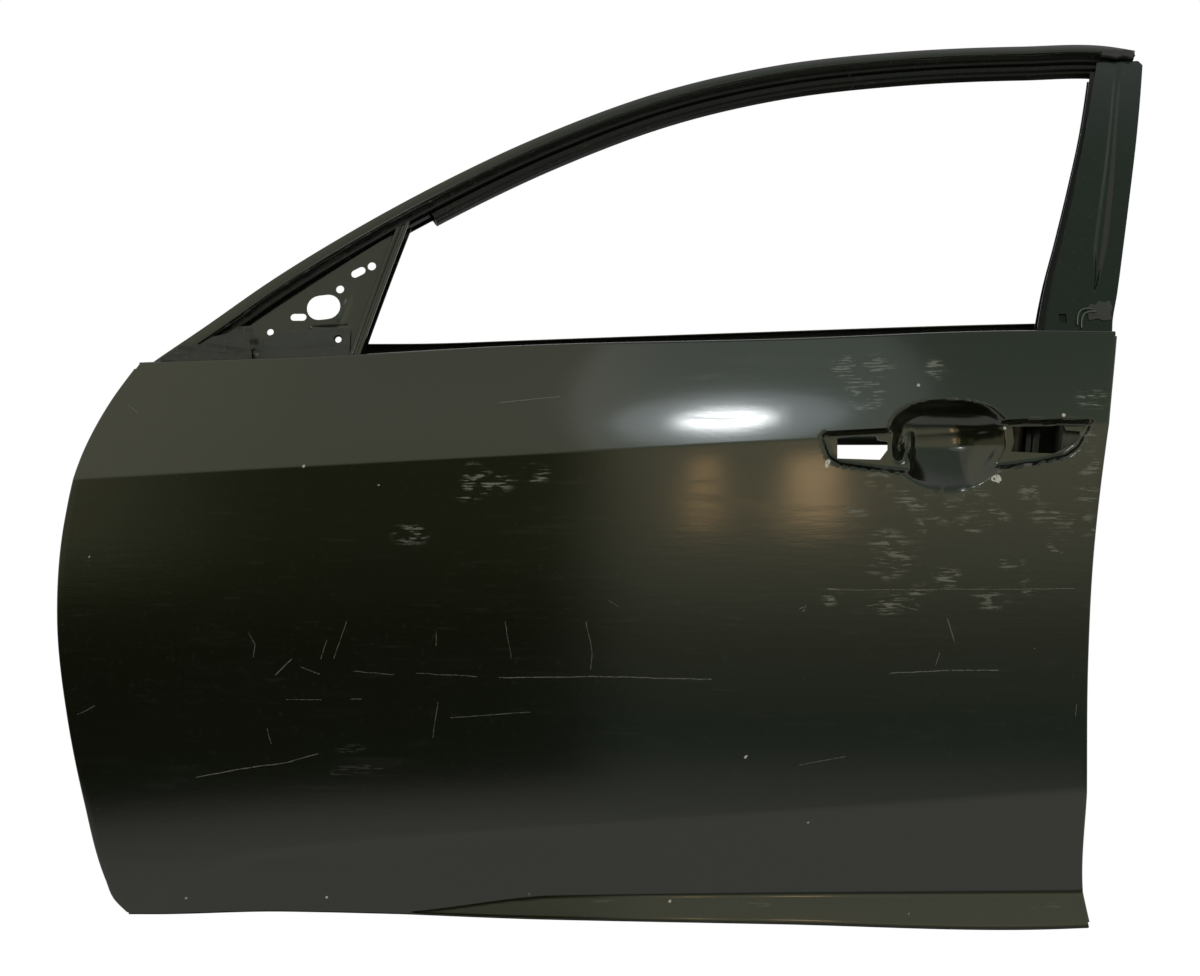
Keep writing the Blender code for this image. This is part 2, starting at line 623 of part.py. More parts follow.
def panel_point(column, row):
    """One vertex of the inner panel: a pan whose walls rise from the hem flange to the trim plane."""
    kind, share = column
    level, height = row
    a = share if kind in ("wall", "back") else float(kind in ("start", "face", "end"))
    b = height if level == "wall" else float(level in ("start", "face", "fold"))
    z, x = (height if level == "face" else FACE_ROWS[-1] if level == "fold" else 0.03), 0.5
    for _ in range(5):
        x = column_place(kind, share, a, b, z)
        z = row_place(level, height, a, b, x)
        if a == 0.0 and level in ("wall", "start", "face"):
            z = flange_height(level, height, x)
    rise = min(a, b)
    foot = panel_sheet_y(x, z)
    if rise == 0.0:
        deep_x = kind not in ("edge", "hem", "hem_back", "edge_back")
        deep_z = level not in ("edge", "hem")
        steps = (STEP_RISE if deep_x and deep_z else 0.0) + (WALL_FOOT - STEP_RISE if a or b or "wall" in (kind, level)
                                                             and deep_x and deep_z else 0.0)
        y = foot + (steps if deep_x and deep_z else 0.0)
    else:
        y = foot + WALL_FOOT + rise * (trim_y(x, z) - CORNER - foot - WALL_FOOT)
    if kind in ("start", "face", "end") and level in ("start", "face", "fold"):
        y = trim_y(x, z)
    if kind == "wall" and 0.25 < share < 0.8 and level == "face":
        on_pad = any(low + PAD_RAMP / 2 < height < high - PAD_RAMP / 2 for low, high in (LOWER_PAD, UPPER_PAD))
        x -= PAD_RISE * on_pad
    if level == "fold":
        y -= 0.010
    return x, y, z


def column_place(kind, share, a, b, z):
    z = min(z, 0.66)
    wall, back = front_wall(z), rear_wall(z)
    edge, rear = skin_edge(SKIN_COLUMNS[0], z), skin_edge(SKIN_COLUMNS[-1], z)
    inset = SKIN_SHEET + HEM_CLEAR
    return {
        "edge": lambda: edge + inset,
        "hem": lambda: edge + min(0.014, (wall - edge) * 0.5),
        "step": lambda: edge + min(0.024, (wall - edge) * 0.8),
        "wall": lambda: wall + CORNER_SPREAD * max(0.0, a - b),
        "start": lambda: wall + CORNER + CORNER_SPREAD * max(0.0, a - b),
        "face": lambda: column_x(share, z) if b == 0.0 else share,
        "end": lambda: back - CORNER - CORNER_SPREAD * max(0.0, a - b),
        "back": lambda: back - CORNER_SPREAD * max(0.0, a - b),
        "step_back": lambda: rear - 0.024,
        "hem_back": lambda: rear - 0.014,
        "edge_back": lambda: rear - inset,
    }[kind]()


def row_place(level, height, a, b, x):
    if level == "edge":
        return bottom_edge(x) + SKIN_SHEET + HEM_CLEAR
    if level == "hem":
        return bottom_edge(x) + 0.013
    if level == "step":
        return bottom_edge(x) + 0.023
    if level == "wall":
        return lower_wall(x) + CORNER_SPREAD * max(0.0, b - a)
    if level == "start":
        return lower_wall(x) + CORNER + CORNER_SPREAD * max(0.0, b - a)
    if height <= TOP_FROM and level == "face":
        return height
    share = 1.0 if level == "fold" else (height - TOP_FROM) / (FACE_ROWS[-1] - TOP_FROM)
    low_top, high_top = belt_line(x) - 0.004, station_line(INNER_BELT, x)
    return TOP_FROM + share * ((1 - a) * low_top + a * high_top - TOP_FROM)


def inner_panel():
    """The inner panel: one deep pan with hinge pads, latch wall, access openings and drains."""
    columns, rows = panel_columns(), panel_rows()
    last = len(rows) - 2
    wall_top = columns.index(("start", 1.0))
    wall_end = columns.index(("end", 1.0))
    off_face = {(i, last) for i in range(len(columns)) if i < wall_top or i >= wall_end}
    panel = grid_part("inner_panel", len(columns), len(rows),
                      lambda i, j: panel_point(columns[i], rows[j]), PAINT, off_face)
    solidify(panel, PANEL_SHEET)
    across = [extruded(circle_outline(SPEAKER_X, SPEAKER_Z, SPEAKER_RADIUS, 36), "Y", 0.11, 0.17)]
    across += [extruded(rounded(o, ACCESS_RADIUS), "Y", 0.11, 0.17) for o in (MAIN_ACCESS, REAR_ACCESS, LOWER_ACCESS)]
    across += [extruded(circle_outline(x, z, CLIP_HOLE, 10), "Y", 0.12, 0.16) for x, z in CLIP_HOLES]
    cut(panel, object_from(joined(across), "panel_openings"))
    lengthwise = [extruded(circle_outline(HINGE_Y, z + s * HINGE_BOLT_PITCH / 2, HINGE_BOLT, 12), "X", 0.07, 0.11)
                  for z in PAD_CENTRES for s in (-1, 1)]
    lengthwise += [extruded(slot_outline(HINGE_Y, CHECK_Z, 0.036, 0.016), "X", 0.07, 0.11),
                   extruded(circle_outline(HINGE_Y, HARNESS_Z, 0.015, 18), "X", 0.07, 0.12)]
    lengthwise += [extruded(rounded(LATCH_MOUTH, 0.004, 3), "X", 1.06, 1.12)]
    lengthwise += [extruded(circle_outline(y, z, 0.0036, 10), "X", 1.06, 1.12) for y, z in LATCH_SCREWS]
    cut(panel, object_from(joined(lengthwise), "panel_end_holes"))
    return panel


PAD_CENTRES = (sum(LOWER_PAD) / 2, sum(UPPER_PAD) / 2)
HINGE_Y = 0.0855
CHECK_Z = 0.335
HARNESS_Z = 0.385
LATCH_MOUTH = ((0.070, 0.405), (0.070, 0.455), (0.098, 0.455), (0.098, 0.405))
LATCH_SCREWS = ((0.060, 0.385), (0.060, 0.475), (0.110, 0.430))
DATUM = (FRONT_WALL - PAD_RISE - PANEL_SHEET, HINGE_Y, PAD_CENTRES[0])


def upper_sash():
    """The rolled frame over the window: lip, glass run slot and tube in one sheet."""
    section = sheet_outline(SASH_SECTION, SASH_SHEET / MM)
    sash = loft("upper_sash", frame_rings(resampled(SASH_EDGE, SASH_STATIONS), section, INTO_WINDOW), PAINT)
    below = extruded(((0.0, 0.50), (0.0, SASH_END_HEIGHT), (0.25, SASH_END_HEIGHT), (0.25, 0.50)), "Y", 0.0, 0.2)
    cut(sash, object_from(below, "sash_end_cut"))
    return sash


def sash_clearance():
    """The room that the sash takes, a fit gap larger, which the pieces that meet it are cut by."""
    over, wide, deep = SASH_OVERCUT / MM, (SASH_WIDTH + FIT_GAP) / MM, (SASH_DEPTH + SASH_OVERCUT) / MM
    room = ((-over, -over), (wide, -over), (wide, deep), (-over, deep))
    loft("sash_clearance", frame_rings(resampled(SASH_EDGE, SASH_STATIONS), room, INTO_WINDOW), None)


def rear_sash():
    """The glass run of the rear pillar, carried on down inside the door."""
    section = sheet_outline(RUN_SECTION, SASH_SHEET / MM)
    run = loft("rear_sash", frame_rings(resampled(PILLAR_FRONT + PILLAR_FOOT, 15), section, REARWARDS), BLACK)
    cut(run, bpy.data.objects["sash_clearance"])
    return run


def division_channel():
    section = sheet_outline(DIVISION_SECTION, SASH_SHEET / MM)
    bar = loft("division_channel", frame_rings(resampled((DIVISION_TOP, DIVISION_FOOT), 8), section, REARWARDS), BLACK)
    cut(bar, bpy.data.objects["sash_clearance"])
    return bar


def division_x(z):
    """x of the division channel's front face at a height."""
    (x0, z0), (x1, z1) = DIVISION_FOOT, DIVISION_TOP
    return x0 + (x1 - x0) * (z - z0) / (z1 - z0)


def pillar_plate():
    """The cover plate of the rear pillar, with its long pressed groove and turned edges."""
    count = 13
    fore, mid, aft = (resampled(line, count) for line in (PLATE_FRONT, GROOVE, PLATE_REAR))

    def place(i, j):
        front, groove, rear = (Vector(line[count - 1 - j]) for line in (fore, mid, aft))
        half = Vector((GROOVE_HALF_WIDTH, 0))
        spots = (front, front, (front + groove - 2 * half) / 2, groove - 2 * half, groove - half, groove + half,
                 groove + 2 * half, (groove + 2 * half + rear) / 2, rear, rear)
        x, z = spots[i]
        sunk = (PLATE_FLANGE, 0, 0, 0, GROOVE_DEPTH, GROOVE_DEPTH, 0, 0, 0, PLATE_FLANGE + 0.005)[i]
        return Vector((x, glass_y(x, z), z)) + window_inboard(x, z) * (0.001 + sunk)

    plate = grid_part("pillar_plate", 10, count, place, PRIMER)
    solidify(plate, PLATE_SHEET)
    holes = joined([extruded(slot_outline(*hole), "Y", 0.0, 0.12) for hole in PLATE_HOLES])
    cut(plate, object_from(holes, "pillar_foot_holes"))
    return plate


def window_spot(x, z, depth):
    return Vector((x, glass_y(x, z), z)) + window_inboard(x, z) * depth


def plane_plate(name, outline, plane, thickness, finish, shift=0.0):
    """A flat plate with an outline in x and z, lying on the plane through three points."""
    a, b, c = plane
    normal = (b - a).cross(c - a).normalized()
    if normal.y < 0:
        normal.negate()
    bm = bmesh.new()
    spots = [Vector((x, a.y - (normal.x * (x - a.x) + normal.z * (z - a.z)) / normal.y, z)) for x, z in outline]
    face = bm.faces.new([bm.verts.new(p + normal * shift) for p in spots])
    moved = bmesh.ops.extrude_face_region(bm, geom=[face])
    bmesh.ops.translate(bm, vec=normal * thickness, verts=[g for g in moved["geom"] if isinstance(g, bmesh.types.BMVert)])
    bmesh.ops.recalc_face_normals(bm, faces=bm.faces)
    return object_from(bm, name, finish)


def bracket_plane():
    return [window_spot(x, z, BRACKET_DEPTH) for x, z in BRACKET_PLANE]


def bracket_y(x, z):
    a, b, c = bracket_plane()
    normal = (b - a).cross(c - a)
    return a.y - (normal.x * (x - a.x) + normal.z * (z - a.z)) / normal.y


def sash_inner_line():
    """(x, z) of points inside the sash's room, which the mirror bracket reaches before it is cut back."""
    spot = (SASH_WIDTH * 0.6 / MM, BRACKET_DEPTH / MM)
    rings = frame_rings(resampled(SASH_EDGE, SASH_STATIONS), (spot,), INTO_WINDOW)
    return [tuple(ring[0].xz) for ring in rings]


def mirror_bracket():
    """The flat plate behind the door mirror, with its clearance oval, screw holes and slots."""
    upper = [p for p in sash_inner_line() if 0.160 < p[0] < 0.350]
    foot = BRACKET_FOOT
    rear = [(division_x(z) + BAR_CLEAR, z) for z in (0.775, 0.640, foot)]
    outline = [(0.1600, 0.6380)] + upper + rear + [(0.222, foot), (0.212, 0.6380)]
    bracket = plane_plate("mirror_bracket", outline, bracket_plane(), PLATE_SHEET, PRIMER)
    cut(bracket, object_from(joined([extruded(slot_outline(*h), "Y", 0.02, 0.14) for h in BRACKET_HOLES]), "mirror_holes"))
    cut(bracket, bpy.data.objects["sash_clearance"])
    return bracket


def triangle_base_plate():
    plate = plane_plate("triangle_base_plate", BASE_PLATE, bracket_plane(), PLATE_SHEET, PRIMER,
                        -PLATE_SHEET - FIT_GAP)
    hole = BRACKET_HOLES[-1]
    cut(plate, object_from(extruded(circle_outline(hole[0], hole[1], BASE_HOLE, 14), "Y", 0.02, 0.14), "base_hole"))
    return plate


def bent_sheet(name, ends, line, thickness, finish):
    """A sheet with one bent section at each end; line(x) gives the section as (y, z)."""
    rings = [[Vector((x, p.x * MM, p.y * MM)) for p in sheet_outline([(y / MM, z / MM) for y, z in line(x)], thickness / MM)]
             for x in ends]
    return loft(name, rings, finish)


def front_gusset():
    """Ties the foot of the mirror bracket to the inner panel."""
    back, seat = PLATE_SHEET * 1.5 + FIT_GAP + 0.0002, PLATE_SHEET / 2 + FIT_GAP + 0.0003

    def line(x):
        return [(bracket_y(x, z) + back, z) for z in (0.636, 0.612)] + [(trim_y(x, z) - seat, z) for z in (0.597, 0.570)]

    return bent_sheet("front_gusset", (0.226, 0.300), line, PLATE_SHEET, BLACK)


def rear_gusset():
    """Ties the rear glass run to the top of the inner panel."""
    back, seat = PLATE_SHEET / 2 + FIT_GAP + 0.0003, PLATE_SHEET / 2 + FIT_GAP + 0.0010

    def line(x):
        run = [(window_spot(x, z + RUN_DEPTH * GLASS_SLOPE, RUN_DEPTH + back).y, z) for z in (0.658, 0.634)]
        return run + [(trim_y(x, z) - seat, z) for z in (0.620, 0.588)]

    return bent_sheet("rear_gusset", (1.078, 1.094), line, PLATE_SHEET, BLACK)


def rail_stations():
    low, high = RAIL_ENDS
    return [low + (high - low) * k / 6 for k in range(7)]


def outer_belt_rail():
    def line(x):
        belt = belt_line(x)
        y = body_side(x, belt) + BELT_FOLD_WIDTH + FIT_GAP + PLATE_SHEET / 2 + 0.0003
        return [(y, belt - 0.001), (y, belt - 0.019), (y + 0.008, belt - 0.025), (y + 0.008, belt - 0.047)]

    return bent_sheet("outer_belt_rail", rail_stations(), line, PLATE_SHEET, BLACK)


def inner_belt_rail():
    def line(x):
        top = station_line(INNER_BELT, x)
        return [(trim_y(x, top - 0.006) - 0.0018, top - 0.006), (trim_y(x, top - 0.030) - 0.0018, top - 0.030),
                (trim_y(x, top - 0.036) - 0.012, top - 0.036), (trim_y(x, top - 0.052) - 0.012, top - 0.052)]

    return bent_sheet("inner_belt_rail", rail_stations(), line, PLATE_SHEET, BLACK)


def impact_beam():
    """A steel tube across the door, open at both ends."""
    a, b = (Vector((x, BEAM_Y, z)) for x, z in (BEAM_FRONT, BEAM_REAR))
    bm = bmesh.new()
    bmesh.ops.create_cone(bm, cap_ends=False, segments=16, radius1=BEAM_RADIUS, radius2=BEAM_RADIUS, depth=(b - a).length)
    turn = (b - a).to_track_quat("Z", "Y").to_matrix().to_4x4()
    bmesh.ops.transform(bm, matrix=Matrix.Translation((a + b) / 2) @ turn, verts=bm.verts)
    beam = object_from(bm, "impact_beam", PRIMER)
    solidify(beam, BEAM_WALL)
    return beam


def beam_bracket(name, wall, inward, height):
    """An angle from an end wall of the inner panel to the beam."""
    x = wall + inward * (FIT_GAP + REINFORCEMENT / 2)
    y = BEAM_Y + BEAM_RADIUS + FIT_GAP + REINFORCEMENT / 2
    line = [(x / MM, BRACKET_INBOARD / MM), (x / MM, y / MM), ((x + inward * BRACKET_REACH) / MM, y / MM)]
    outline = [(p.x * MM, p.y * MM) for p in sheet_outline(line, REINFORCEMENT / MM)]
    bm = extruded(outline, "Z", height - BRACKET_HALF_HEIGHT, height + BRACKET_HALF_HEIGHT)
    return object_from(bm, name, PRIMER)


def wall_plate(name, wall, inward, across, heights, cutter):
    """A flat reinforcement on the cavity side of an end wall."""
    near = wall + inward * FIT_GAP
    corners = [(across[0], heights[0]), (across[0], heights[1]), (across[1], heights[1]), (across[1], heights[0])]
    low, high = sorted((near, near + inward * REINFORCEMENT))
    plate = object_from(extruded(rounded(corners, 0.009, 2), "X", low, high), name, PRIMER)
    cut(plate, bpy.data.objects[cutter])
    return plate


def hinge_nut(name, height):
    low = FRONT_WALL + 2 * FIT_GAP + REINFORCEMENT
    nut = object_from(extruded(circle_outline(HINGE_Y, height, NUT_RADIUS, 6), "X", low, low + NUT_HEIGHT), name,
                      ((0.35, 0.34, 0.32), 0.35, 1.0))
    cut(nut, bpy.data.objects["panel_end_holes"])
    return nut


def skin_hat(name, ends, height, offset, rise, finish, count=5):
    """A hat-section strap laid along the inside of the skin; height(x) is its middle."""
    def line(x):
        middle, base = height(x), SKIN_SHEET + offset + PLATE_SHEET / 2
        steps = ((0.019, 0.0), (0.010, 0.0), (0.006, rise), (-0.006, rise), (-0.010, 0.0), (-0.019, 0.0))
        return [(facet_y(x, middle + up) + base + out, middle + up) for up, out in steps]

    xs = [ends[0] + (ends[1] - ends[0]) * k / (count - 1) for k in range(count)]
    return bent_sheet(name, xs, line, PLATE_SHEET, finish)


def mastic_pad(name, x):
    """A soft pad between the skin and its strap, under the strap's upper flange."""
    length, height, thickness = MASTIC_SIZE

    def place(i, j):
        px = x + (i - 1) * length / 2
        pz = STRAP_HEIGHT + (j - 0.5) * height
        return px, facet_y(px, pz) + SKIN_SHEET + FIT_GAP, pz

    pad = grid_part(name, 3, 2, place, ((0.05, 0.05, 0.045), 0.9))
    solidify(pad, thickness)
    return pad


def inner_structure():
    """Everything between the skin and the inner panel."""
    outer_belt_rail()
    inner_belt_rail()
    impact_beam()
    beam_bracket("beam_bracket_front", FRONT_WALL, 1, BEAM_FRONT[1])
    beam_bracket("beam_bracket_rear", REAR_WALL, -1, BEAM_REAR[1])
    across, half = HINGE_PLATE
    for name, centre in zip(("lower", "upper"), PAD_CENTRES):
        wall_plate("hinge_plate_" + name, FRONT_WALL, 1, across, (centre - half, centre + half), "panel_end_holes")
        for k, side in enumerate((-1, 1)):
            hinge_nut(f"hinge_nut_{name}_{k + 1}", centre + side * HINGE_BOLT_PITCH / 2)
    wall_plate("check_plate", FRONT_WALL, 1, *CHECK_PLATE, "panel_end_holes")
    wall_plate("latch_plate", REAR_WALL, -1, *LATCH_PLATE, "panel_end_holes")
    skin_hat("handle_brace", BRACE_ENDS, lambda x: crease_line(x) - BRACE_BELOW, FIT_GAP, 0.008, PRIMER, 4)
    skin_hat("outer_strap", STRAP_ENDS, lambda x: STRAP_HEIGHT, 2 * FIT_GAP + MASTIC_SIZE[2] + 0.0003, 0.006, PRIMER, 8)
    for k, x in enumerate(MASTIC_X):
        mastic_pad(f"mastic_pad_{k + 1}", x)


def pillar_remains():
    """What is left of the tape and the trim on the rear pillar."""
    foot = [window_spot(x, z, -0.0002) for x, z in ((1.14, 0.678), (1.166, 0.678), (1.153, 0.700))]
    plane_plate("pillar_tape", TAPE, foot, 0.0008, ((0.22, 0.22, 0.21), 0.85))
    top = [window_spot(x, z, -0.0040) for x, z in ((1.208, 1.018), (1.250, 1.018), (1.230, 1.028))]
    plane_plate("trim_remnant", TRIM_REMNANT, top, 0.0030, ((0.006, 0.006, 0.006), 0.9))


def main():
    for obj in list(bpy.data.objects):
        bpy.data.objects.remove(obj)
    outer_skin()
    inner_panel()
    upper_sash()
    sash_clearance()
    rear_sash()
    division_channel()
    pillar_plate()
    mirror_bracket()
    triangle_base_plate()
    front_gusset()
    rear_gusset()
    inner_structure()
    pillar_remains()


main()
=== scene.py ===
"""Car door shell: pressed skin, window frame and inner panel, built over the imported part."""

import json
import math

import bpy
import numpy as np
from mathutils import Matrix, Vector


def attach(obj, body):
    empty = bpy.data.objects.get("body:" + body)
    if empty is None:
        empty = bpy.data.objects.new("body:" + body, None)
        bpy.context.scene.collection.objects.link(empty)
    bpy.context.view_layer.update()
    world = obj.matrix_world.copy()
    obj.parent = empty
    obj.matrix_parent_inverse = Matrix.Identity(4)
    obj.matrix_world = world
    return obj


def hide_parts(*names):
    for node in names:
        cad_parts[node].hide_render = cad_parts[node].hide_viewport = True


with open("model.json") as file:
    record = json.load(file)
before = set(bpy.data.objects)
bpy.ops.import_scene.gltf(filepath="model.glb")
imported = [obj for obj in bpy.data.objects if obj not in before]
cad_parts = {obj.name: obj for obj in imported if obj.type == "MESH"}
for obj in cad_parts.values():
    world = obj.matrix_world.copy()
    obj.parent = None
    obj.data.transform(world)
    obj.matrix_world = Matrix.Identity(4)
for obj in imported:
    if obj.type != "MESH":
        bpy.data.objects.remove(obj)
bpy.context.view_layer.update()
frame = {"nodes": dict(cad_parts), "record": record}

bl_info = {
    "name": "Car door shell",
    "version": (1, 0, 0),
    "blender": (4, 5, 0),
    "location": "View3D > Sidebar > Door",
    "description": "Builds the skin, window frame, inner panel and studio of a bare car door shell",
    "category": "Add Mesh",
}

# The part's origin is the lower hinge pad. The styled lines below are measured from the skin's foremost
# point and its lower edge.
DATUM = np.array((0.086, 0.0855, 0.155))

# Thicknesses of the sheets and sizes of the folds, in metres.
SKIN_SHEET = 0.0008
PANEL_SHEET = 0.0010
SASH_SHEET = 0.0014
PLATE_SHEET = 0.0012
FIT_GAP = 0.0004
HEM_RETURN = 0.0090
HEM_CLEAR = 0.0012
HEM_WEB = 2 * SKIN_SHEET + PANEL_SHEET + 2 * HEM_CLEAR
BELT_FOLD_WIDTH = 0.0055
BELT_FOLD_DROP = 0.0130
HEM_ROWS = 7

# The skin's side: its bow in plan, its crease, its slopes above and below it, the step in at the sill and the
# lean of the lower strip.
PLAN_BOW_FRONT, PLAN_BOW_REAR, PLAN_CENTRE, PLAN_REAR = 0.022, 0.004, 0.63, 1.13
CREASE_AT_FRONT, CREASE_RISE = 0.499, 0.0532
SHOULDER_SLOPE, SHOULDER_CURVE, SIDE_CURVE = 0.22, 0.35, 0.15
SCALLOP_DEPTH, SCALLOP_FROM, SCALLOP_FADE, SILL_ROUND = 0.013, 0.10, 0.14, 0.06
PRESS_AT_LINE, PRESS_LOSS = 1.3, 0.28
STRIP_SLOPE, STRIP_FROM, STRIP_FADE = 0.40, 0.32, 0.22

# Styled lines as stations: the front and rear edges are x at z, all others x and z.
FRONT_EDGE = ((0.0152, 0.0718), (0.0322, 0.0555), (0.0551, 0.0463), (0.1456, 0.0249), (0.2349, 0.0095),
              (0.345, 0.0), (0.455, 0.0095), (0.5427, 0.0333), (0.5872, 0.0556), (0.630, 0.0837))
REAR_EDGE = ((0.0014, 1.1408), (0.0395, 1.1345), (0.1588, 1.1305), (0.3, 1.1277), (0.4119, 1.1312),
             (0.542, 1.1450), (0.6624, 1.1645))
BOTTOM_EDGE = ((0.07, 0.0155), (0.239, 0.0172), (0.472, 0.0129), (0.787, 0.0067), (1.10, 0.0),
               (1.141, 0.0012))
STRIP_LINE = ((0.06, 0.0196), (0.1855, 0.0235), (0.3748, 0.032), (0.5955, 0.0377), (0.75, 0.039),
              (1.1367, 0.0395))
SILL_LINE = ((0.06, 0.026), (0.1061, 0.030), (0.1281, 0.0459), (0.1544, 0.0616), (0.1985, 0.0790),
             (0.2564, 0.0887), (0.3759, 0.1002), (0.5999, 0.1176), (0.966, 0.1437), (1.1319, 0.1576))
BELT_LINE = ((0.0837, 0.6299), (0.311, 0.637), (0.5075, 0.6473), (0.7932, 0.6543), (1.0679, 0.6636),
             (1.1645, 0.6627))
INNER_BELT = ((0.10, 0.6320), (0.165, 0.6330), (0.205, 0.6460), (0.3892, 0.6539), (0.8018, 0.6688),
              (1.008, 0.6757), (1.16, 0.6790))
SASH_EDGE = ((0.0760, 0.6140), (0.1027, 0.6340), (0.1509, 0.6687), (0.2248, 0.7244), (0.3096, 0.7816),
             (0.4072, 0.8411), (0.5238, 0.9036), (0.6820, 0.9703), (0.8168, 1.0057), (0.9508, 1.0242),
             (1.1125, 1.0341), (1.2240, 1.0347), (1.2535, 1.0287))
SASH_END_HEIGHT = 0.6200
GLASS_BELT, GLASS_OFFSET, GLASS_SLOPE, GLASS_CURVE, GLASS_DROP = 0.655, 0.045, 0.30, 0.62, 0.20
PILLAR_LINE = ((1.1965, 1.0090), (1.1692, 0.9250), (1.1462, 0.8603), (1.1191, 0.7840), (1.0987, 0.7257),
               (1.0847, 0.6729), (1.0735, 0.61), (1.0610, 0.52), (1.0490, 0.43), (1.0420, 0.365))
DIVISION_LINE = ((0.3658, 0.8010), (0.2399, 0.3900))
PLATE_FRONT = ((1.2023, 1.0100), (1.1721, 0.9210), (1.1505, 0.8569), (1.1258, 0.7813), (1.1055, 0.7236),
               (1.0920, 0.6745), (1.0890, 0.6630))
PLATE_REAR = ((1.2597, 1.0135), (1.2284, 0.9049), (1.2060, 0.8264), (1.1901, 0.7669), (1.1750, 0.7070),
              (1.1665, 0.6745), (1.1650, 0.6630))
GROOVE_LINE = ((1.2290, 0.9909), (1.2055, 0.9129), (1.1872, 0.8467), (1.1665, 0.7717), (1.1500, 0.7060),
               (1.1400, 0.6745), (1.1370, 0.6630))

# Sections of the window frame in millimetres: how far into the window, and how far inboard of its surface.
MM = 0.001
SASH_SECTION = ((1.0, 5.0), (0.7, 0.7), (12.6, 0.7), (13.2, 9.6), (20.2, 10.0), (21.0, 18.0), (23.8, 18.0),
                (24.4, 12.5), (30.4, 13.0), (31.0, 17.5), (33.6, 18.0), (33.6, 26.0), (6.0, 26.0), (4.4, 7.0))
RUN_SECTION = ((0.7, 14.0), (6.8, 14.0), (7.6, 10.5), (14.5, 10.5), (14.5, 30.0), (0.7, 30.0))
DIVISION_SECTION = ((12.5, 4.7), (9.4, 4.7), (8.6, 6.4), (5.0, 6.4), (4.2, 4.7), (0.7, 4.7), (0.7, 20.0),
                    (12.5, 20.0))
SASH_COUNT, RUN_COUNT, DIVISION_COUNT = 150, 90, 40
BEND_RADIUS, BEND_POINTS = 1.1, 4
TRIANGLE_END = 0.3900
INTO_WINDOW, REARWARDS = (0.6, 0.0, -0.8), (1.0, 0.0, 0.0)

# Handle recess. The bowl's deepest line lies above its middle.
BOWL_X, BOWL_HALF_LENGTH, BOWL_DEPTH = 0.9727, 0.0665, 0.0335
BOWL_TOP, BOWL_DEEPEST, BOWL_BOTTOM = 0.5853, 0.5360, 0.4885
END_POWER, UP_POWER, DOWN_POWER, FLOOR_POWER, FOOT_LOSS = 2.5, 2.7, 1.35, 1.15, 0.10
WING_DEPTH, WING_WALL, WING_CORNER, WING_BLEND, LEAST_DEPTH = 0.0075, 0.0080, 0.004, 0.0035, 0.0009
FRONT_WING = ((0.8316, 0.5452), (0.8370, 0.5528), (0.8944, 0.5561), (0.9529, 0.5593), (0.9529, 0.5008),
              (0.9085, 0.5052), (0.8825, 0.5084), (0.8533, 0.5127), (0.8403, 0.5214))
REAR_WING = ((0.9854, 0.5647), (1.0363, 0.5658), (1.1262, 0.5658), (1.1327, 0.5615), (1.1283, 0.5506),
             (1.1164, 0.5312), (1.1023, 0.5214), (1.0688, 0.5138), (1.0341, 0.5095), (0.9854, 0.5052))
# Hollows and a ridge in the bowl's end walls: x, z, half length, half height and depth.
DENTS = ((0.9185, 0.5290, 0.0070, 0.0200, 0.0050), (0.9320, 0.5290, 0.0085, 0.0260, -0.0065),
         (1.0150, 0.5340, 0.0130, 0.0230, 0.0005))
DENT_LEAN, DENT_EDGE = 0.18, 0.9
FRONT_OPENING = ((0.853, 0.5221), (0.853, 0.5439), (0.873, 0.5460), (0.8956, 0.5460), (0.8972, 0.5415),
                 (0.9075, 0.5405), (0.9075, 0.5314), (0.8995, 0.5207))
REAR_OPENING = ((1.0420, 0.5295), (1.0452, 0.5400), (1.0433, 0.5567), (1.0830, 0.5572), (1.0990, 0.5585),
                (1.1017, 0.5527), (1.1165, 0.5515), (1.1180, 0.5460), (1.1105, 0.5383), (1.0885, 0.5274))

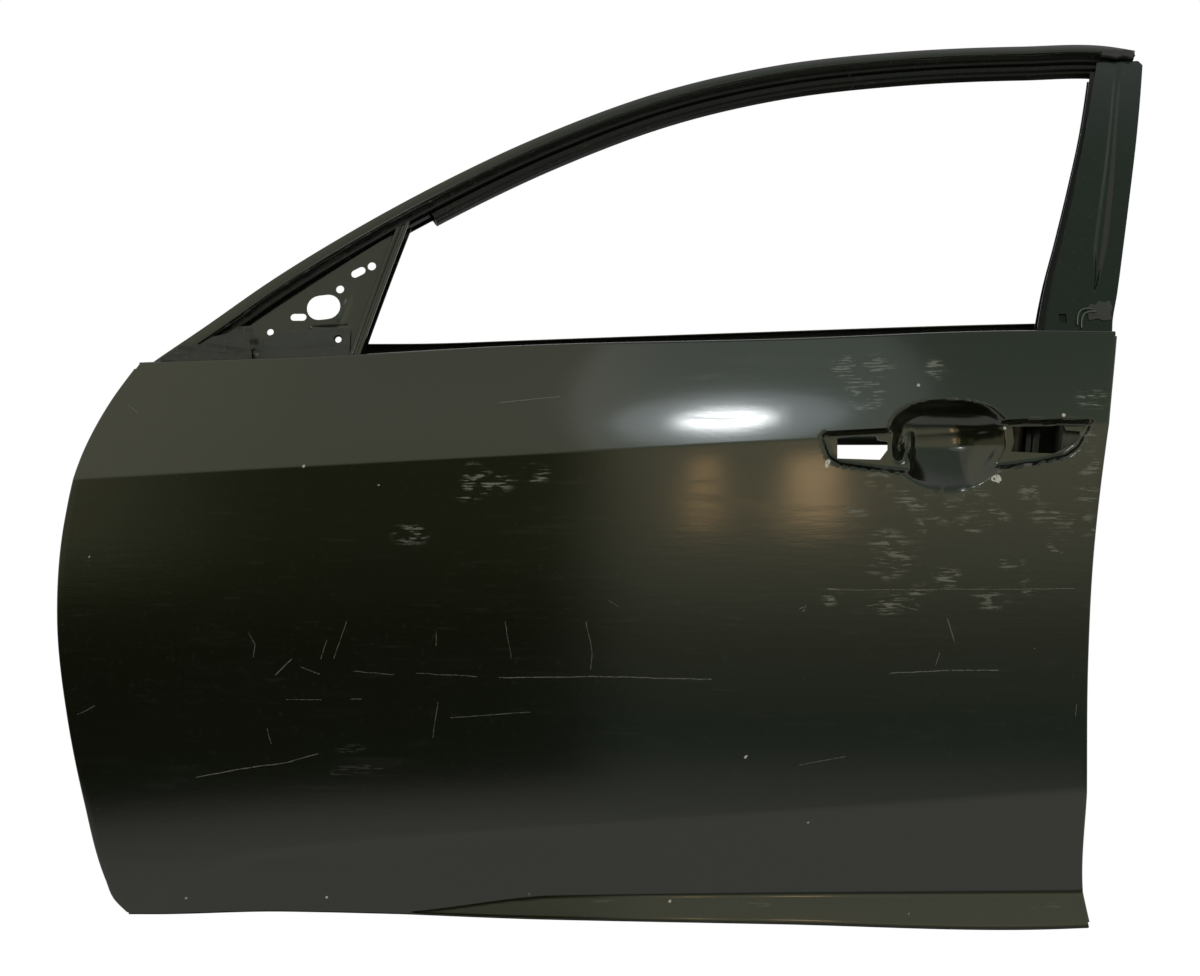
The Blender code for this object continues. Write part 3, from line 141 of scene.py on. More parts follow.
# Marks on the skin: scratch strokes as lines through (x, z) points with a width, one of them a painted
# highlight along the lip of the handle bowl, then the middles of the smears, chips and rubbed patches.
FINE, THIN = 0.00035, 0.00055
SCRATCHES_AND_RIM_HIGHLIGHT = ((FINE, ((0.2125, 0.3330), (0.2197, 0.3200), (0.2180, 0.3060))),
             (THIN, ((0.2424, 0.2864), (0.2598, 0.3037))), (FINE, ((0.2700, 0.2950), (0.2901, 0.2875))),
             (FINE, ((0.2920, 0.3040), (0.2988, 0.3243))), (FINE, ((0.3060, 0.3044), (0.3204, 0.3449))),
             (FINE, ((0.3269, 0.2907), (0.3713, 0.2875))), (FINE, ((0.2533, 0.2593), (0.2923, 0.2593))),
             (FINE, ((0.3237, 0.2604), (0.3356, 0.2604))), (FINE, ((0.2316, 0.2268), (0.2359, 0.2106))),
             (THIN, ((0.1526, 0.1727), (0.2024, 0.1824), (0.2544, 0.1900), (0.2868, 0.1998))),
             (FINE, ((0.0215, 0.2409), (0.0410, 0.2507))), (FINE, ((0.4926, 0.3449), (0.4991, 0.3048))),
             (FINE, ((0.5803, 0.3449), (0.5868, 0.3135), (0.5855, 0.2930))),
             (THIN, ((0.4861, 0.2842), (0.5955, 0.2853), (0.7157, 0.2821))),
             (FINE, ((0.3962, 0.2886), (0.4623, 0.2853))), (FINE, ((0.4179, 0.3340), (0.4179, 0.3189))),
             (FINE, ((0.4190, 0.2561), (0.4136, 0.2182))), (FINE, ((0.4330, 0.2399), (0.5197, 0.2463))),
             (FINE, ((0.6042, 0.3687), (0.6161, 0.3611))),
             (FINE, ((0.8847, 0.3622), (0.9096, 0.3655), (0.9388, 0.3579))),
             (THIN, ((0.9724, 0.3481), (0.9800, 0.3243))),
             (THIN, ((0.9107, 0.2886), (0.9691, 0.2918), (1.0287, 0.2918))),
             (FINE, ((0.9648, 0.3113), (0.9600, 0.2975))), (FINE, ((0.8132, 0.1878), (0.8630, 0.1965))),
             (FINE, ((0.8522, 0.3795), (1.1110, 0.3806))), (FINE, ((0.0757, 0.5810), (0.0876, 0.5723))),
             (FINE, ((1.1153, 0.2539), (1.1143, 0.2409))), (FINE, ((0.4861, 0.5831), (0.5522, 0.5896))),
             # Painted highlight: this pale stroke stands in for the light along the lower rear lip of the
             # handle bowl.
             (THIN, ((1.0125, 0.4976), (1.0309, 0.5095))),
             (THIN, ((0.8121, 0.3590), (0.8186, 0.3622), (0.8153, 0.3557))))
SMEARS = ((0.3193, 0.2052), (0.3269, 0.2073), (0.3096, 0.1813), (0.3161, 0.1824), (0.3356, 0.1835),
          (0.3507, 0.1846), (0.7623, 0.0276), (0.7774, 0.0286), (1.0829, 0.0254), (1.0980, 0.0254),
          (0.5619, 0.0319), (0.5998, 0.0319))
CHIPS = ((0.0367, 0.4164), (0.0388, 0.3936), (0.2738, 0.5138), (0.3540, 0.4932), (0.6941, 0.3611),
         (0.8229, 0.1218), (0.7536, 0.1965), (0.3096, 0.3297), (0.8186, 0.2821), (1.0677, 0.3135),
         (0.0908, 0.0286), (0.1352, 0.0351), (0.2923, 0.0351), (0.5164, 0.0384), (0.6735, 0.0319),
         (0.9377, 0.0167), (1.0211, 0.4997), (1.0255, 0.5019), (1.0276, 0.4976), (0.9421, 0.6026),
         (1.0352, 0.5550), (1.0980, 0.5691), (0.8424, 0.5192), (0.8403, 0.5138), (1.1348, 0.5550))
RUBBED = ((0.8641, 0.6221), (0.8998, 0.6243), (0.9616, 0.6200), (0.8847, 0.5972), (0.8847, 0.5842),
          (0.8966, 0.4976), (0.9323, 0.4770), (0.9681, 0.4651), (1.0005, 0.4803), (0.9962, 0.4499),
          (0.9475, 0.4499), (0.9052, 0.4326), (1.1251, 0.5127), (1.1229, 0.4835), (1.1197, 0.4499),
          (1.0893, 0.4261), (1.0807, 0.4597), (1.0244, 0.4618), (1.0601, 0.4835), (0.9052, 0.4034),
          (0.8435, 0.3730), (0.9713, 0.3936), (0.9085, 0.3644), (0.4590, 0.5062), (0.4818, 0.4954),
          (0.5262, 0.5041), (0.4536, 0.4857), (0.3908, 0.4402), (1.1262, 0.5420), (1.1305, 0.5875),
          (1.0395, 0.4120), (0.9421, 0.3730), (1.0179, 0.3687), (1.0612, 0.3849), (0.8695, 0.4640),
          (0.9258, 0.4174))

# Mirror bracket and what sits on it. Holes are (x, z, length, width, turn).
BRACKET_DEPTH = 0.012
RESIDUE = ((0.1060, 0.6170), (0.1091, 0.6356), (0.1359, 0.6517), (0.1504, 0.6495), (0.1649, 0.6584),
           (0.1805, 0.6618), (0.1917, 0.6696), (0.2073, 0.6707), (0.2107, 0.6629), (0.2060, 0.6540),
           (0.2095, 0.6406), (0.2110, 0.6180))
BRACKET_PLANE = ((0.205, 0.665), (0.335, 0.755), (0.300, 0.660))
BRACKET_FOOT = 0.606
BRACKET_HOLES = ((0.2837, 0.6938, 0.038, 0.0285, 0.12), (0.2560, 0.6822, 0.018, 0.008, 0.0),
                 (0.3210, 0.7350, 0.017, 0.009, 0.49), (0.2254, 0.6649, 0.0075, 0.0074, 0.0),
                 (0.3360, 0.7421, 0.0095, 0.0094, 0.0), (0.3013, 0.7148, 0.0091, 0.0090, 0.0),
                 (0.3027, 0.6560, 0.0071, 0.0070, 0.0))
CLIP_POCKET = ((1.1070, 0.6742), (1.1154, 0.6742), (1.1154, 0.6842), (1.1070, 0.6842))
CLIP_WIRE = ((1.1264, 0.6709), (1.1275, 0.6800), (1.1303, 0.6862), (1.1360, 0.6896), (1.1439, 0.6896))
BASE_PLATE = ((0.212, 0.6240), (0.218, 0.6580), (0.235, 0.6645), (0.262, 0.6640), (0.275, 0.6690),
              (0.3165, 0.6685), (0.3165, 0.6290))


def styled_line(stations, at):
    """A smooth line through stations: a cubic between neighbours, with slopes from central differences,
    and straight beyond the ends."""
    xs, ys = np.array(stations, float).T
    slopes = np.gradient(ys, xs)
    at = np.asarray(at, float)
    inner = np.clip(at, xs[0], xs[-1])
    k = np.clip(np.searchsorted(xs, inner, side="right") - 1, 0, len(xs) - 2)
    span = xs[k + 1] - xs[k]
    t = (inner - xs[k]) / span
    value = ys[k] * (1 + 2 * t) * (1 - t) ** 2 + ys[k + 1] * t * t * (3 - 2 * t)
    value += span * (slopes[k] * t * (1 - t) ** 2 - slopes[k + 1] * t * t * (1 - t))
    return value + slopes[0] * np.minimum(at - xs[0], 0) + slopes[-1] * np.maximum(at - xs[-1], 0)


def ease(t):
    """0 to 1 with level ends: three t squared less two t cubed."""
    t = np.clip(t, 0.0, 1.0)
    return t * t * (3 - 2 * t)


def below(change, height):
    """0 above a level to 1 at the end of a change of some length under it."""
    level, length = change
    return ease((level - height) / length)


def crease_line(x):
    """z of the crease at x."""
    return CREASE_AT_FRONT + CREASE_RISE * x


def plan_bow(x):
    """How far the side has curved inboard at x: a parabola each side of the plan's widest point."""
    ahead = np.maximum(0.0, (PLAN_CENTRE - x) / PLAN_CENTRE)
    behind = np.maximum(0.0, (x - PLAN_CENTRE) / (PLAN_REAR - PLAN_CENTRE))
    return PLAN_BOW_FRONT * ahead ** 2 + PLAN_BOW_REAR * behind ** 2


def body_side(x, z):
    """y of the outer face: a slope and a parabola above the crease, a flatter parabola below it, an eased
    step inwards at the sill line and a straight lean at the lower strip."""
    t = z - crease_line(x)
    y = plan_bow(x) + np.where(t > 0, SHOULDER_SLOPE * t + SHOULDER_CURVE * t * t, SIDE_CURVE * t * t)
    sill, bottom = styled_line(SILL_LINE, x), styled_line(BOTTOM_EDGE, x)
    foot = bottom + (styled_line(STRIP_LINE, x) - bottom) * ease((x - STRIP_FROM) / STRIP_FADE)
    down = np.clip((sill - z) / (sill - foot), 0, 1)
    press = np.where(down < SILL_ROUND, down * down / (2 * SILL_ROUND), down - SILL_ROUND / 2)
    press = press * (PRESS_AT_LINE - PRESS_LOSS * down)
    y = y + SCALLOP_DEPTH * press * ease((x - SCALLOP_FROM) / SCALLOP_FADE)
    return y - STRIP_SLOPE * np.maximum(0.0, foot - z)


def to_line(a, b, x, z):
    """Distance from (x, z) to the straight line between two (x, z) points."""
    (ax, az), (bx, bz) = a, b
    dx, dz = bx - ax, bz - az
    along = np.clip(((x - ax) * dx + (z - az) * dz) / (dx ** 2 + dz ** 2), 0, 1)
    return np.hypot(x - ax - along * dx, z - az - along * dz)


def inside(outline, x, z):
    """Distance from (x, z) to a polygon's nearest side, positive within it."""
    points = np.array(outline, float)
    nearest, within = np.full(np.shape(x), np.inf), np.zeros(np.shape(x), bool)
    for a, b in zip(points, np.roll(points, -1, axis=0)):
        nearest = np.minimum(nearest, to_line(a, b, x, z))
        if a[1] != b[1]:
            crossing = a[0] + (z - a[1]) * (b[0] - a[0]) / (b[1] - a[1])
            within ^= ((a[1] > z) != (b[1] > z)) & (x < crossing)
    return np.where(within, nearest, -nearest)


def soft_max(a, b, blend):
    """The greater of two heights, rounded over the blend where they cross."""
    near = np.maximum(blend - np.abs(a - b), 0.0) / blend
    return np.maximum(a, b) + near * near * blend / 4


def dent(x, z, spot):
    """A smooth hollow: an eased fall inside a leaning ellipse."""
    cx, cz, half_x, half_z, depth = spot
    lean = x - cx - DENT_LEAN * (z - cz)
    return depth * ease((1.0 - (lean / half_x) ** 2 - ((z - cz) / half_z) ** 2) / DENT_EDGE)


def recess(x, z, bowl_depth):
    """Depth of the handle recess: a bowl whose wall falls off as powers of the way to its rim, steeper above
    its deepest line than below, with dents in its end walls, and a shallow wing on each side."""
    u = np.abs(x - BOWL_X) / BOWL_HALF_LENGTH
    up = np.maximum(0.0, (z - BOWL_DEEPEST) / (BOWL_TOP - BOWL_DEEPEST))
    down = np.maximum(0.0, (BOWL_DEEPEST - z) / (BOWL_DEEPEST - BOWL_BOTTOM))
    fall = 1.0 - u ** END_POWER - up ** UP_POWER - down ** DOWN_POWER
    bowl = bowl_depth * np.where(fall > 0, 1 - (1 - np.clip(fall, 0, 1)) ** FLOOR_POWER, fall)
    bowl = bowl * (1 - FOOT_LOSS * np.minimum(down, 1))
    bowl = bowl + sum(dent(x, z, spot) for spot in DENTS) * (bowl > 0)
    wings = [WING_DEPTH * ease(inside(rounded(wing, WING_CORNER), x, z) / WING_WALL)
             for wing in (FRONT_WING, REAR_WING)]
    whole = soft_max(bowl, np.maximum(*wings), WING_BLEND)
    return np.where(whole > LEAST_DEPTH, whole, 0.0)


def glass_y(x, z):
    """y of the window surface: a parabola in height that leans inboard, plus the side's plan curve."""
    h = np.maximum(z - GLASS_BELT, -GLASS_DROP)
    return GLASS_OFFSET + GLASS_SLOPE * h + GLASS_CURVE * h * h + plan_bow(x)


def unit(v):
    """Vectors scaled to length 1."""
    return v / np.linalg.norm(v, axis=-1, keepdims=True)


def window_inboard(x, z):
    """Direction square to the window surface, from its slopes along and up."""
    reach = 0.002
    slope_x = (glass_y(x + reach, z) - glass_y(x - reach, z)) / (2 * reach)
    slope_z = (glass_y(x, z + reach) - glass_y(x, z - reach)) / (2 * reach)
    return unit(np.stack([-slope_x, np.ones_like(slope_x), -slope_z], axis=-1))


def on_window(x, z, depth=0.0):
    """Points of the window surface at (x, z), moved inboard by a depth."""
    return np.stack([x, glass_y(x, z), z], -1) + window_inboard(x, z) * np.asarray(depth)[..., None]


def resampled(points, count):
    """Evenly spaced points of the smooth line through (x, z) points."""
    points = np.array(points, float)
    steps = np.concatenate([[0.0], np.cumsum(np.linalg.norm(np.diff(points, axis=0), axis=1))])
    at = np.linspace(0.0, steps[-1], count)
    return np.stack([styled_line(np.stack([steps, points[:, k]], 1), at) for k in (0, 1)], axis=1)


def grid_faces(columns, rows, closed=False):
    """Quads of a grid whose vertices run row by row; closed joins the last column to the first."""
    i = np.arange(columns if closed else columns - 1)
    j = np.arange(rows - 1)
    i, j = (g.reshape(-1) for g in np.meshgrid(i, j))
    after, low, high = (i + 1) % columns, j * columns, (j + 1) * columns
    return np.stack([low + i, low + after, high + after, high + i], 1)


def mesh_object(name, points, faces, caps=()):
    """A mesh object in the part's frame from design coordinates and quads, plus any polygon caps."""
    mesh = bpy.data.meshes.new(name)
    points = np.asarray(points, float).reshape(-1, 3) - DATUM
    used = np.unique(np.concatenate([np.asarray(faces).reshape(-1)] + [np.asarray(c) for c in caps]))
    index = np.full(len(points), -1)
    index[used] = np.arange(len(used))
    polygons = index[np.asarray(faces)].tolist() + [index[np.asarray(c)].tolist() for c in caps]
    mesh.from_pydata(points[used].tolist(), [], polygons)
    mesh.update()
    obj = bpy.data.objects.new(name, mesh)
    bpy.context.scene.collection.objects.link(obj)
    return obj


def values_of(items, attribute, width=3, kind=float):
    """One attribute of a mesh's vertices, faces or triangles, as an array with a row for each."""
    values = np.empty(len(items) * width, kind)
    items.foreach_get(attribute, values)
    return values.reshape(-1, width)


def sheet_of(name, points, faces=None):
    """An open sheet over a grid of points, turned so that most of its area faces outboard."""
    rows, columns = points.shape[:2]
    obj = mesh_object(name, points, grid_faces(columns, rows) if faces is None else faces)
    made = obj.data.polygons
    if (values_of(made, "normal")[:, 1] * values_of(made, "area", 1)[:, 0]).sum() > 0:
        obj.data.flip_normals()
    return obj


# Where cutters run: their axis, and from where to where along it.
THROUGH_SKIN, THROUGH_FRAME, THROUGH_BRACKET = (1, -0.02, 0.06), (1, 0.0, 0.4), (1, 0.0, 0.16)
THROUGH_TRIM, THROUGH_HINGE_WALL, THROUGH_LATCH_WALL = (1, 0.11, 0.17), (0, 0.07, 0.12), (0, 1.06, 1.12)


def prism(name, outline, through):
    """A closed prism over an outline, used to cut or trim a piece."""
    axis, low, high = through
    outline = np.array(outline, float)
    return lofted(name, np.stack([np.insert(outline, axis, level, axis=1) for level in (low, high)]))


def outwards(obj):
    """Turns a closed mesh so that its signed volume is positive."""
    mesh = obj.data
    mesh.calc_loop_triangles()
    corners = values_of(mesh.loop_triangles, "vertices", kind=np.int32)
    if np.linalg.det(values_of(mesh.vertices, "co")[corners]).sum() < 0:
        mesh.flip_normals()
    return obj


def circle(a, b, radius, count=40):
    """Points of a circle about (a, b)."""
    angle = np.linspace(0, 2 * math.pi, count, endpoint=False)
    return np.stack([a + radius * np.cos(angle), b + radius * np.sin(angle)], 1)


def slot(a, b, length, width, turn=0.0, count=12):
    """A slot with round ends: two half circles set apart along a turned line."""
    half = np.linspace(-math.pi / 2, math.pi / 2, count)
    angle = np.concatenate([half, half + math.pi])
    u = (length - width) / 2 * np.repeat([1, -1], count) + width / 2 * np.cos(angle)
    v = width / 2 * np.sin(angle)
    along, across = math.cos(turn), math.sin(turn)
    return np.stack([a + u * along - v * across, b + u * across + v * along], 1)


def bends(before, corner, after, count):
    """For each corner the points of a quadratic curve from before to after that the corner pulls."""
    t = np.linspace(0, 1, count)[None, :, None]
    curve = before[:, None] * (1 - t) ** 2 + corner[:, None] * 2 * t * (1 - t) + after[:, None] * t * t
    return curve.reshape(-1, 2)


def rounded(outline, radius, count=6):
    """Each corner of the outline becomes a quadratic curve that leaves and joins its sides at the radius."""
    outline = np.array(outline, float)
    before = outline + radius * unit(np.roll(outline, 1, axis=0) - outline)
    after = outline + radius * unit(np.roll(outline, -1, axis=0) - outline)
    return bends(before, outline, after, count)


def finished(obj, thickness=0.0, cuts=(), keep=None, sharp=32.0, even=True):
    """Gives a sheet its wall, cuts its openings, trims it to an outline, and bakes the result into its mesh
    with edges sharper than the angle left hard."""
    if thickness:
        wall = obj.modifiers.new("sheet", "SOLIDIFY")
        wall.thickness, wall.use_even_offset = thickness, even
    tools = [(keep, "INTERSECT")] * bool(keep) + [(cut, "DIFFERENCE") for cut in cuts]
    for other, operation in tools:
        made = obj.modifiers.new("opening", "BOOLEAN")
        made.operation, made.solver, made.object = operation, "MANIFOLD", other
    graph = bpy.context.evaluated_depsgraph_get()
    mesh = bpy.data.meshes.new_from_object(obj.evaluated_get(graph))
    obj.modifiers.clear()
    obj.data = mesh
    if len(mesh.polygons) == 0:
        raise RuntimeError(f"{obj.name} came out empty")
    for other, _ in tools:
        bpy.data.objects.remove(other)
    mesh.polygons.foreach_set("use_smooth", np.ones(len(mesh.polygons), bool))
    mesh.set_sharp_from_angle(angle=math.radians(sharp))
    mesh.update()


def placed(obj, finish, slot_name, *nodes):
    """Gives a piece its finish, lets it ride on the part, and lets it stand for its CAD nodes."""
    obj.data.materials.clear()
    obj.data.materials.append(finish)
    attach(obj, "root")
    if nodes:
        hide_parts(*nodes)


def sheet_section(line, thickness):
    """Closed outline of a bent sheet: the centre line with its bends rounded, set off by half the sheet to
    each side along the mean normal."""
    line = np.array(line, float)
    inner = line[1:-1]
    before, after = line[:-2] - inner, line[2:] - inner
    reach = 0.45 * np.minimum(np.linalg.norm(before, axis=1), np.linalg.norm(after, axis=1))
    reach = np.minimum(BEND_RADIUS, reach)[:, None]
    curve = bends(inner + unit(before) * reach, inner, inner + unit(after) * reach, BEND_POINTS)
    centre = np.concatenate([line[:1], curve, line[-1:]])
    along = unit(np.gradient(centre, axis=0))
    across = np.stack([-along[:, 1], along[:, 0]], 1) * thickness / 2
    return np.concatenate([centre + across, (centre - across)[::-1]])


def frame_rings(line, section, towards):
    """A section carried along a line on the window surface: across it lies in the surface, inboard is square
    to both."""
    x, z = line.T
    spots = on_window(x, z)
    along = unit(np.gradient(spots, axis=0))
    across = unit(np.cross(window_inboard(x, z), along))
    across *= np.where(across @ np.array(towards) < 0, -1.0, 1.0)[:, None]
    inboard = unit(np.cross(along, across))
    inboard *= np.where(inboard[:, 1] < 0, -1.0, 1.0)[:, None]
    section = np.array(section) * MM
    return spots[:, None] + across[:, None] * section[None, :, :1] + inboard[:, None] * section[None, :, 1:]


def lofted(name, rings):
    """A closed tube through equal rings, capped at both ends."""
    stations, count = rings.shape[:2]
    caps = (np.arange(count)[::-1], np.arange(count) + (stations - 1) * count)
    return outwards(mesh_object(name, rings.reshape(-1, 3), grid_faces(count, stations, True), caps))


def steps(*spans):
    """Grid stations from spans of (start, end, count), without repeated joints."""
    return np.unique(np.concatenate([np.linspace(a, b, n) for a, b, n in spans]).round(7))


# The skin's grid: its ends, the part between them where columns stand upright, where they are let in for
# the hems, and the counts of columns and rows.
SKIN_FRONT, SKIN_REAR, UPRIGHT_FROM, UPRIGHT_TO = 0.034, 1.1453, 0.55, 0.80
INSET_TO, INSET_FROM = 0.06, 1.11
COLUMN_SPANS = ((SKIN_FRONT, 0.83, 128), (0.83, 1.132, 139), (1.132, SKIN_REAR, 3))
ROW_COUNTS = (8, 18, 46, 30, 26, 15)
LEAST_SILL, UNDER_CREASE, OVER_CREASE, FOOT_INSET, BELT_INSET = 0.070, 0.062, 0.052, 0.0025, 0.0028


def column_x(reference, z):
    """x of a skin column at a height: outer columns follow the styled edges, middle ones are upright."""
    fore = np.maximum(0.0, (UPRIGHT_FROM - reference) / (UPRIGHT_FROM - SKIN_FRONT)) ** 1.5
    aft = np.maximum(0.0, (reference - UPRIGHT_TO) / (SKIN_REAR - UPRIGHT_TO)) ** 2
    return (reference + fore * (styled_line(FRONT_EDGE, z) - SKIN_FRONT)
            + aft * (styled_line(REAR_EDGE, z) - SKIN_REAR))


def skin_heights(x):
    """Row heights at x from the lower edge to the belt: key lines with even steps between them."""
    crease, sill = crease_line(x), np.maximum(styled_line(SILL_LINE, x), LEAST_SILL)
    keys = (styled_line(BOTTOM_EDGE, x) + FOOT_INSET, styled_line(STRIP_LINE, x), sill, crease - UNDER_CREASE,
            crease, crease + OVER_CREASE, styled_line(BELT_LINE, x) - BELT_INSET)
    rows = [keys[0][None]]
    for low, high, count in zip(keys, keys[1:], ROW_COUNTS):
        rows.append(low + (high - low) * (np.arange(1, count + 1) / count)[:, None])
    return np.concatenate(rows)


def skin_grid(bowl_depth):
    """Points of the outer face: columns by reference place, rows by height, then hems as half circles that
    roll the sheet round each edge and return it behind."""
    fold = HEM_WEB / 2
    reference = steps(*COLUMN_SPANS)
    inset = fold * np.clip((INSET_TO - reference) / (INSET_TO - SKIN_FRONT), 0, 1)
    inset = inset - fold * np.clip((reference - INSET_FROM) / (SKIN_REAR - INSET_FROM), 0, 1)
    x = np.tile(reference, (len(skin_heights(reference)), 1))
    for _ in range(8):
        z = np.stack([skin_heights(x[k])[k] for k in range(len(x))])
        x = column_x(reference[None], z) + inset[None]
    face = np.stack([x, body_side(x, z) + recess(x, z, bowl_depth), z], -1)
    turn = np.linspace(0, math.pi, HEM_ROWS)[1:]

    def side(column, outward):
        base = face[:, column].copy()
        base[:, 1] = body_side(base[:, 0], base[:, 2])
        hem = [base + fold * np.array((outward * math.sin(a), 1 - math.cos(a), 0)) for a in turn]
        return hem + [hem[-1] - np.array((outward * (HEM_RETURN - fold), 0, 0))]

    whole = np.stack(side(0, -1)[::-1] + [face[:, k] for k in range(face.shape[1])] + side(-1, 1), axis=1)

    def end(row, up, across, drop):
        hem = [whole[row] + np.array((0, across / 2 * (1 - math.cos(a)), up * fold * math.sin(a)))
               for a in turn]
        return hem + [hem[-1] - np.array((0, 0, up * (drop - fold)))]

    foot, belt = end(0, -1, HEM_WEB, HEM_RETURN), end(-1, 1, BELT_FOLD_WIDTH, BELT_FOLD_DROP)
    return np.stack(foot[::-1] + list(whole) + belt, axis=0)


def outer_skin(finish, bowl_depth):
    """The outer skin: its grid without the hem corners, a wall, and the two torn handle openings."""
    grid = skin_grid(bowl_depth)
    rows, columns = grid.shape[:2]
    faces = grid_faces(columns, rows)
    i, j = faces[:, 0] % columns, faces[:, 0] // columns
    beside = (i < HEM_ROWS) | (i >= columns - 1 - HEM_ROWS)
    beyond = (j < HEM_ROWS + 1) | (j >= rows - 2 - HEM_ROWS)
    skin = sheet_of("door_skin", grid, faces[~(beside & beyond)])
    cuts = [prism("cut_opening", outline, THROUGH_SKIN) for outline in (FRONT_OPENING, REAR_OPENING)]
    finished(skin, SKIN_SHEET, cuts, sharp=40)
    rub_in(skin)
    placed(skin, finish, "body_paint", "outer_skin")


def rub_in(skin):
    """Stores how rubbed, chipped and smeared each point is: sums of bell curves about the spots."""
    x, _, z = (values_of(skin.data.vertices, "co") + DATUM).T
    for name, spots, wide, high in (("rubbed", RUBBED, 0.0145, 0.011), ("chipped", CHIPS, 0.0038, 0.0038),
                                    ("smeared", SMEARS, 0.012, 0.0035)):
        value = np.zeros(len(x))
        for k, (cx, cz) in enumerate(spots):
            reach = wide * (1 + 0.3 * math.sin(k * 2.4))
            value += np.exp(-((x - cx) / reach) ** 2 - ((z - cz) / high) ** 2)
        skin.data.attributes.new(name, "FLOAT", "POINT").data.foreach_set("value", np.clip(value, 0, 1.2))


def along_sash(low, high, front=False):
    """A cutter along the sash line, or along its front part, between two distances from its outer edge in
    millimetres."""
    line = resampled(SASH_EDGE, SASH_COUNT)
    line = line[line[:, 0] < TRIANGLE_END] if front else line
    section = ((low, -6.0), (high, -6.0), (high, 45.0), (low, 45.0))
    return lofted("cut_sash", frame_rings(line, section, INTO_WINDOW))


def rolled_bar(name, line, count, section, towards):
    """A sheet section carried along a line of the window surface."""
    rings = frame_rings(resampled(line, count), sheet_section(section, SASH_SHEET / MM), towards)
    return lofted(name, rings)


def window_frame(finish, channel):
    """Upper sash, rear glass run and division channel, each a rolled section along its line; the sash is
    narrower beside the triangle, and deep in sash and bar the dark channel finish paints the shade of the
    recesses."""
    sash = rolled_bar("window_sash", SASH_EDGE, SASH_COUNT, SASH_SECTION, INTO_WINDOW)
    foot = ((0.0, 0.50), (0.0, SASH_END_HEIGHT), (0.25, SASH_END_HEIGHT), (0.25, 0.50))
    finished(sash, cuts=[prism("cut_foot", foot, THROUGH_FRAME), along_sash(24.0, 45.0, True)])
    placed(sash, finish, "frame_paint", "upper_sash")
    run = rolled_bar("rear_glass_run", PILLAR_LINE, RUN_COUNT, RUN_SECTION, REARWARDS)
    finished(run, cuts=[along_sash(-6.0, 34.7)])
    placed(run, channel, "frame_paint", "rear_sash")
    bar = rolled_bar("division_bar", DIVISION_LINE, DIVISION_COUNT, DIVISION_SECTION, REARWARDS)
    finished(bar, cuts=[along_sash(-6.0, 24.3)])
    placed(bar, finish, "frame_paint", "division_channel")
    # Painted shade: faces this far inboard of the window take the dark channel finish, standing in for the
    # shade in the recess.
    for obj, deep in ((sash, 0.0075), (bar, 0.0072)):
        obj.data.materials.append(channel)
        x, y, z = (values_of(obj.data.polygons, "center") + DATUM).T
        obj.data.polygons.foreach_set("material_index", (y - glass_y(x, z) > deep).astype(np.int32))


# The pillar plate's grid, its turned flanges, and its groove: half width and what the half width gains on
# the way down, and the share of its depth left at the top.
PLATE_ROWS, PLATE_COLUMNS, PLATE_DEPTH, GROOVE_DEPTH = 170, 111, 0.001, 0.0030
FRONT_FLANGE, REAR_FLANGE, FLANGE_BEND = 0.0083, 0.0133, 0.0008
GROOVE_HALF, GROOVE_SPREAD, GROOVE_LEFT = 0.0038, 0.0022, 0.45
# Heights where the groove starts, ends, widens, reaches its full depth and narrows to its point, each with
# the length of that change.
GROOVE_FOOT, GROOVE_TOP, GROOVE_WIDE = (0.703, 0.014), (1.0, 0.06), (0.92, 0.15)
GROOVE_FULL, GROOVE_POINT, LEAST_GROOVE = (0.93, 0.12), (0.700, 0.060), 0.12
CUT_CORNER = ((1.2490, 1.0200), (1.2720, 1.0200), (1.2720, 0.9840))


def pillar_cover(finish, groove_depth):
    """The pillar plate: flat between its edges with turned flanges, and a long groove whose depth is an
    eased bump across and fades out to a point above the foot."""
    fore, mid, aft = (resampled(line, PLATE_ROWS) for line in (PLATE_FRONT, GROOVE_LINE, PLATE_REAR))
    share = np.linspace(0, 1, PLATE_COLUMNS)
    front, rear = np.linspace(1, 0, 7)[:-1], np.linspace(0, 1, 9)[1:]
    spot = np.concatenate([0 * front, share, 1 + 0 * rear])[None, :, None]
    x, z = np.moveaxis(fore[:, None] * (1 - spot) + aft[:, None] * spot, -1, 0)
    height = mid[:, 1][:, None]
    half = GROOVE_HALF + GROOVE_SPREAD * below(GROOVE_WIDE, height)
    half = half * np.clip((height - GROOVE_POINT[0]) / GROOVE_POINT[1], LEAST_GROOVE, 1)
    strength = ease((height - GROOVE_FOOT[0]) / GROOVE_FOOT[1]) * below(GROOVE_TOP, height)
    strength = strength * (GROOVE_LEFT + (1 - GROOVE_LEFT) * below(GROOVE_FULL, height))
    away = np.abs(x - mid[:, 0][:, None]) / half
    depth = PLATE_DEPTH + groove_depth * strength * ease((1.5 - away) / 1.3)
    turned = np.concatenate([FRONT_FLANGE * front, 0 * share, REAR_FLANGE * rear])[None]
    points = on_window(x, z, depth + turned)
    points[..., 0] += FLANGE_BEND * np.concatenate([front, 0 * share, -rear])[None]
    plate = sheet_of("pillar_cover", points)
    cuts = [prism("cut_clip", rounded(CLIP_POCKET, 0.0008), THROUGH_FRAME),
            prism("cut_corner", CUT_CORNER, THROUGH_FRAME)]
    finished(plate, PLATE_SHEET, cuts)
    placed(plate, finish, "pillar_paint", "pillar_plate")


def tube(name, line, radius, finish, slot_name, count=12):
    """A round wire along points: a circle carried square to the line, its radius one number or one for each
    point."""
    along = unit(np.gradient(line, axis=0))
    across = unit(np.cross(along, (0.31, 0.2, 0.93)))
    up = np.cross(along, across)
    turn = np.linspace(0, 2 * np.pi, count, endpoint=False)[None, :, None]
    ring = across[:, None] * np.cos(turn) + up[:, None] * np.sin(turn)
    wire = lofted(name, line[:, None] + ring * np.broadcast_to(radius, len(line))[:, None, None])
    finished(wire, sharp=50)
    placed(wire, finish, slot_name)


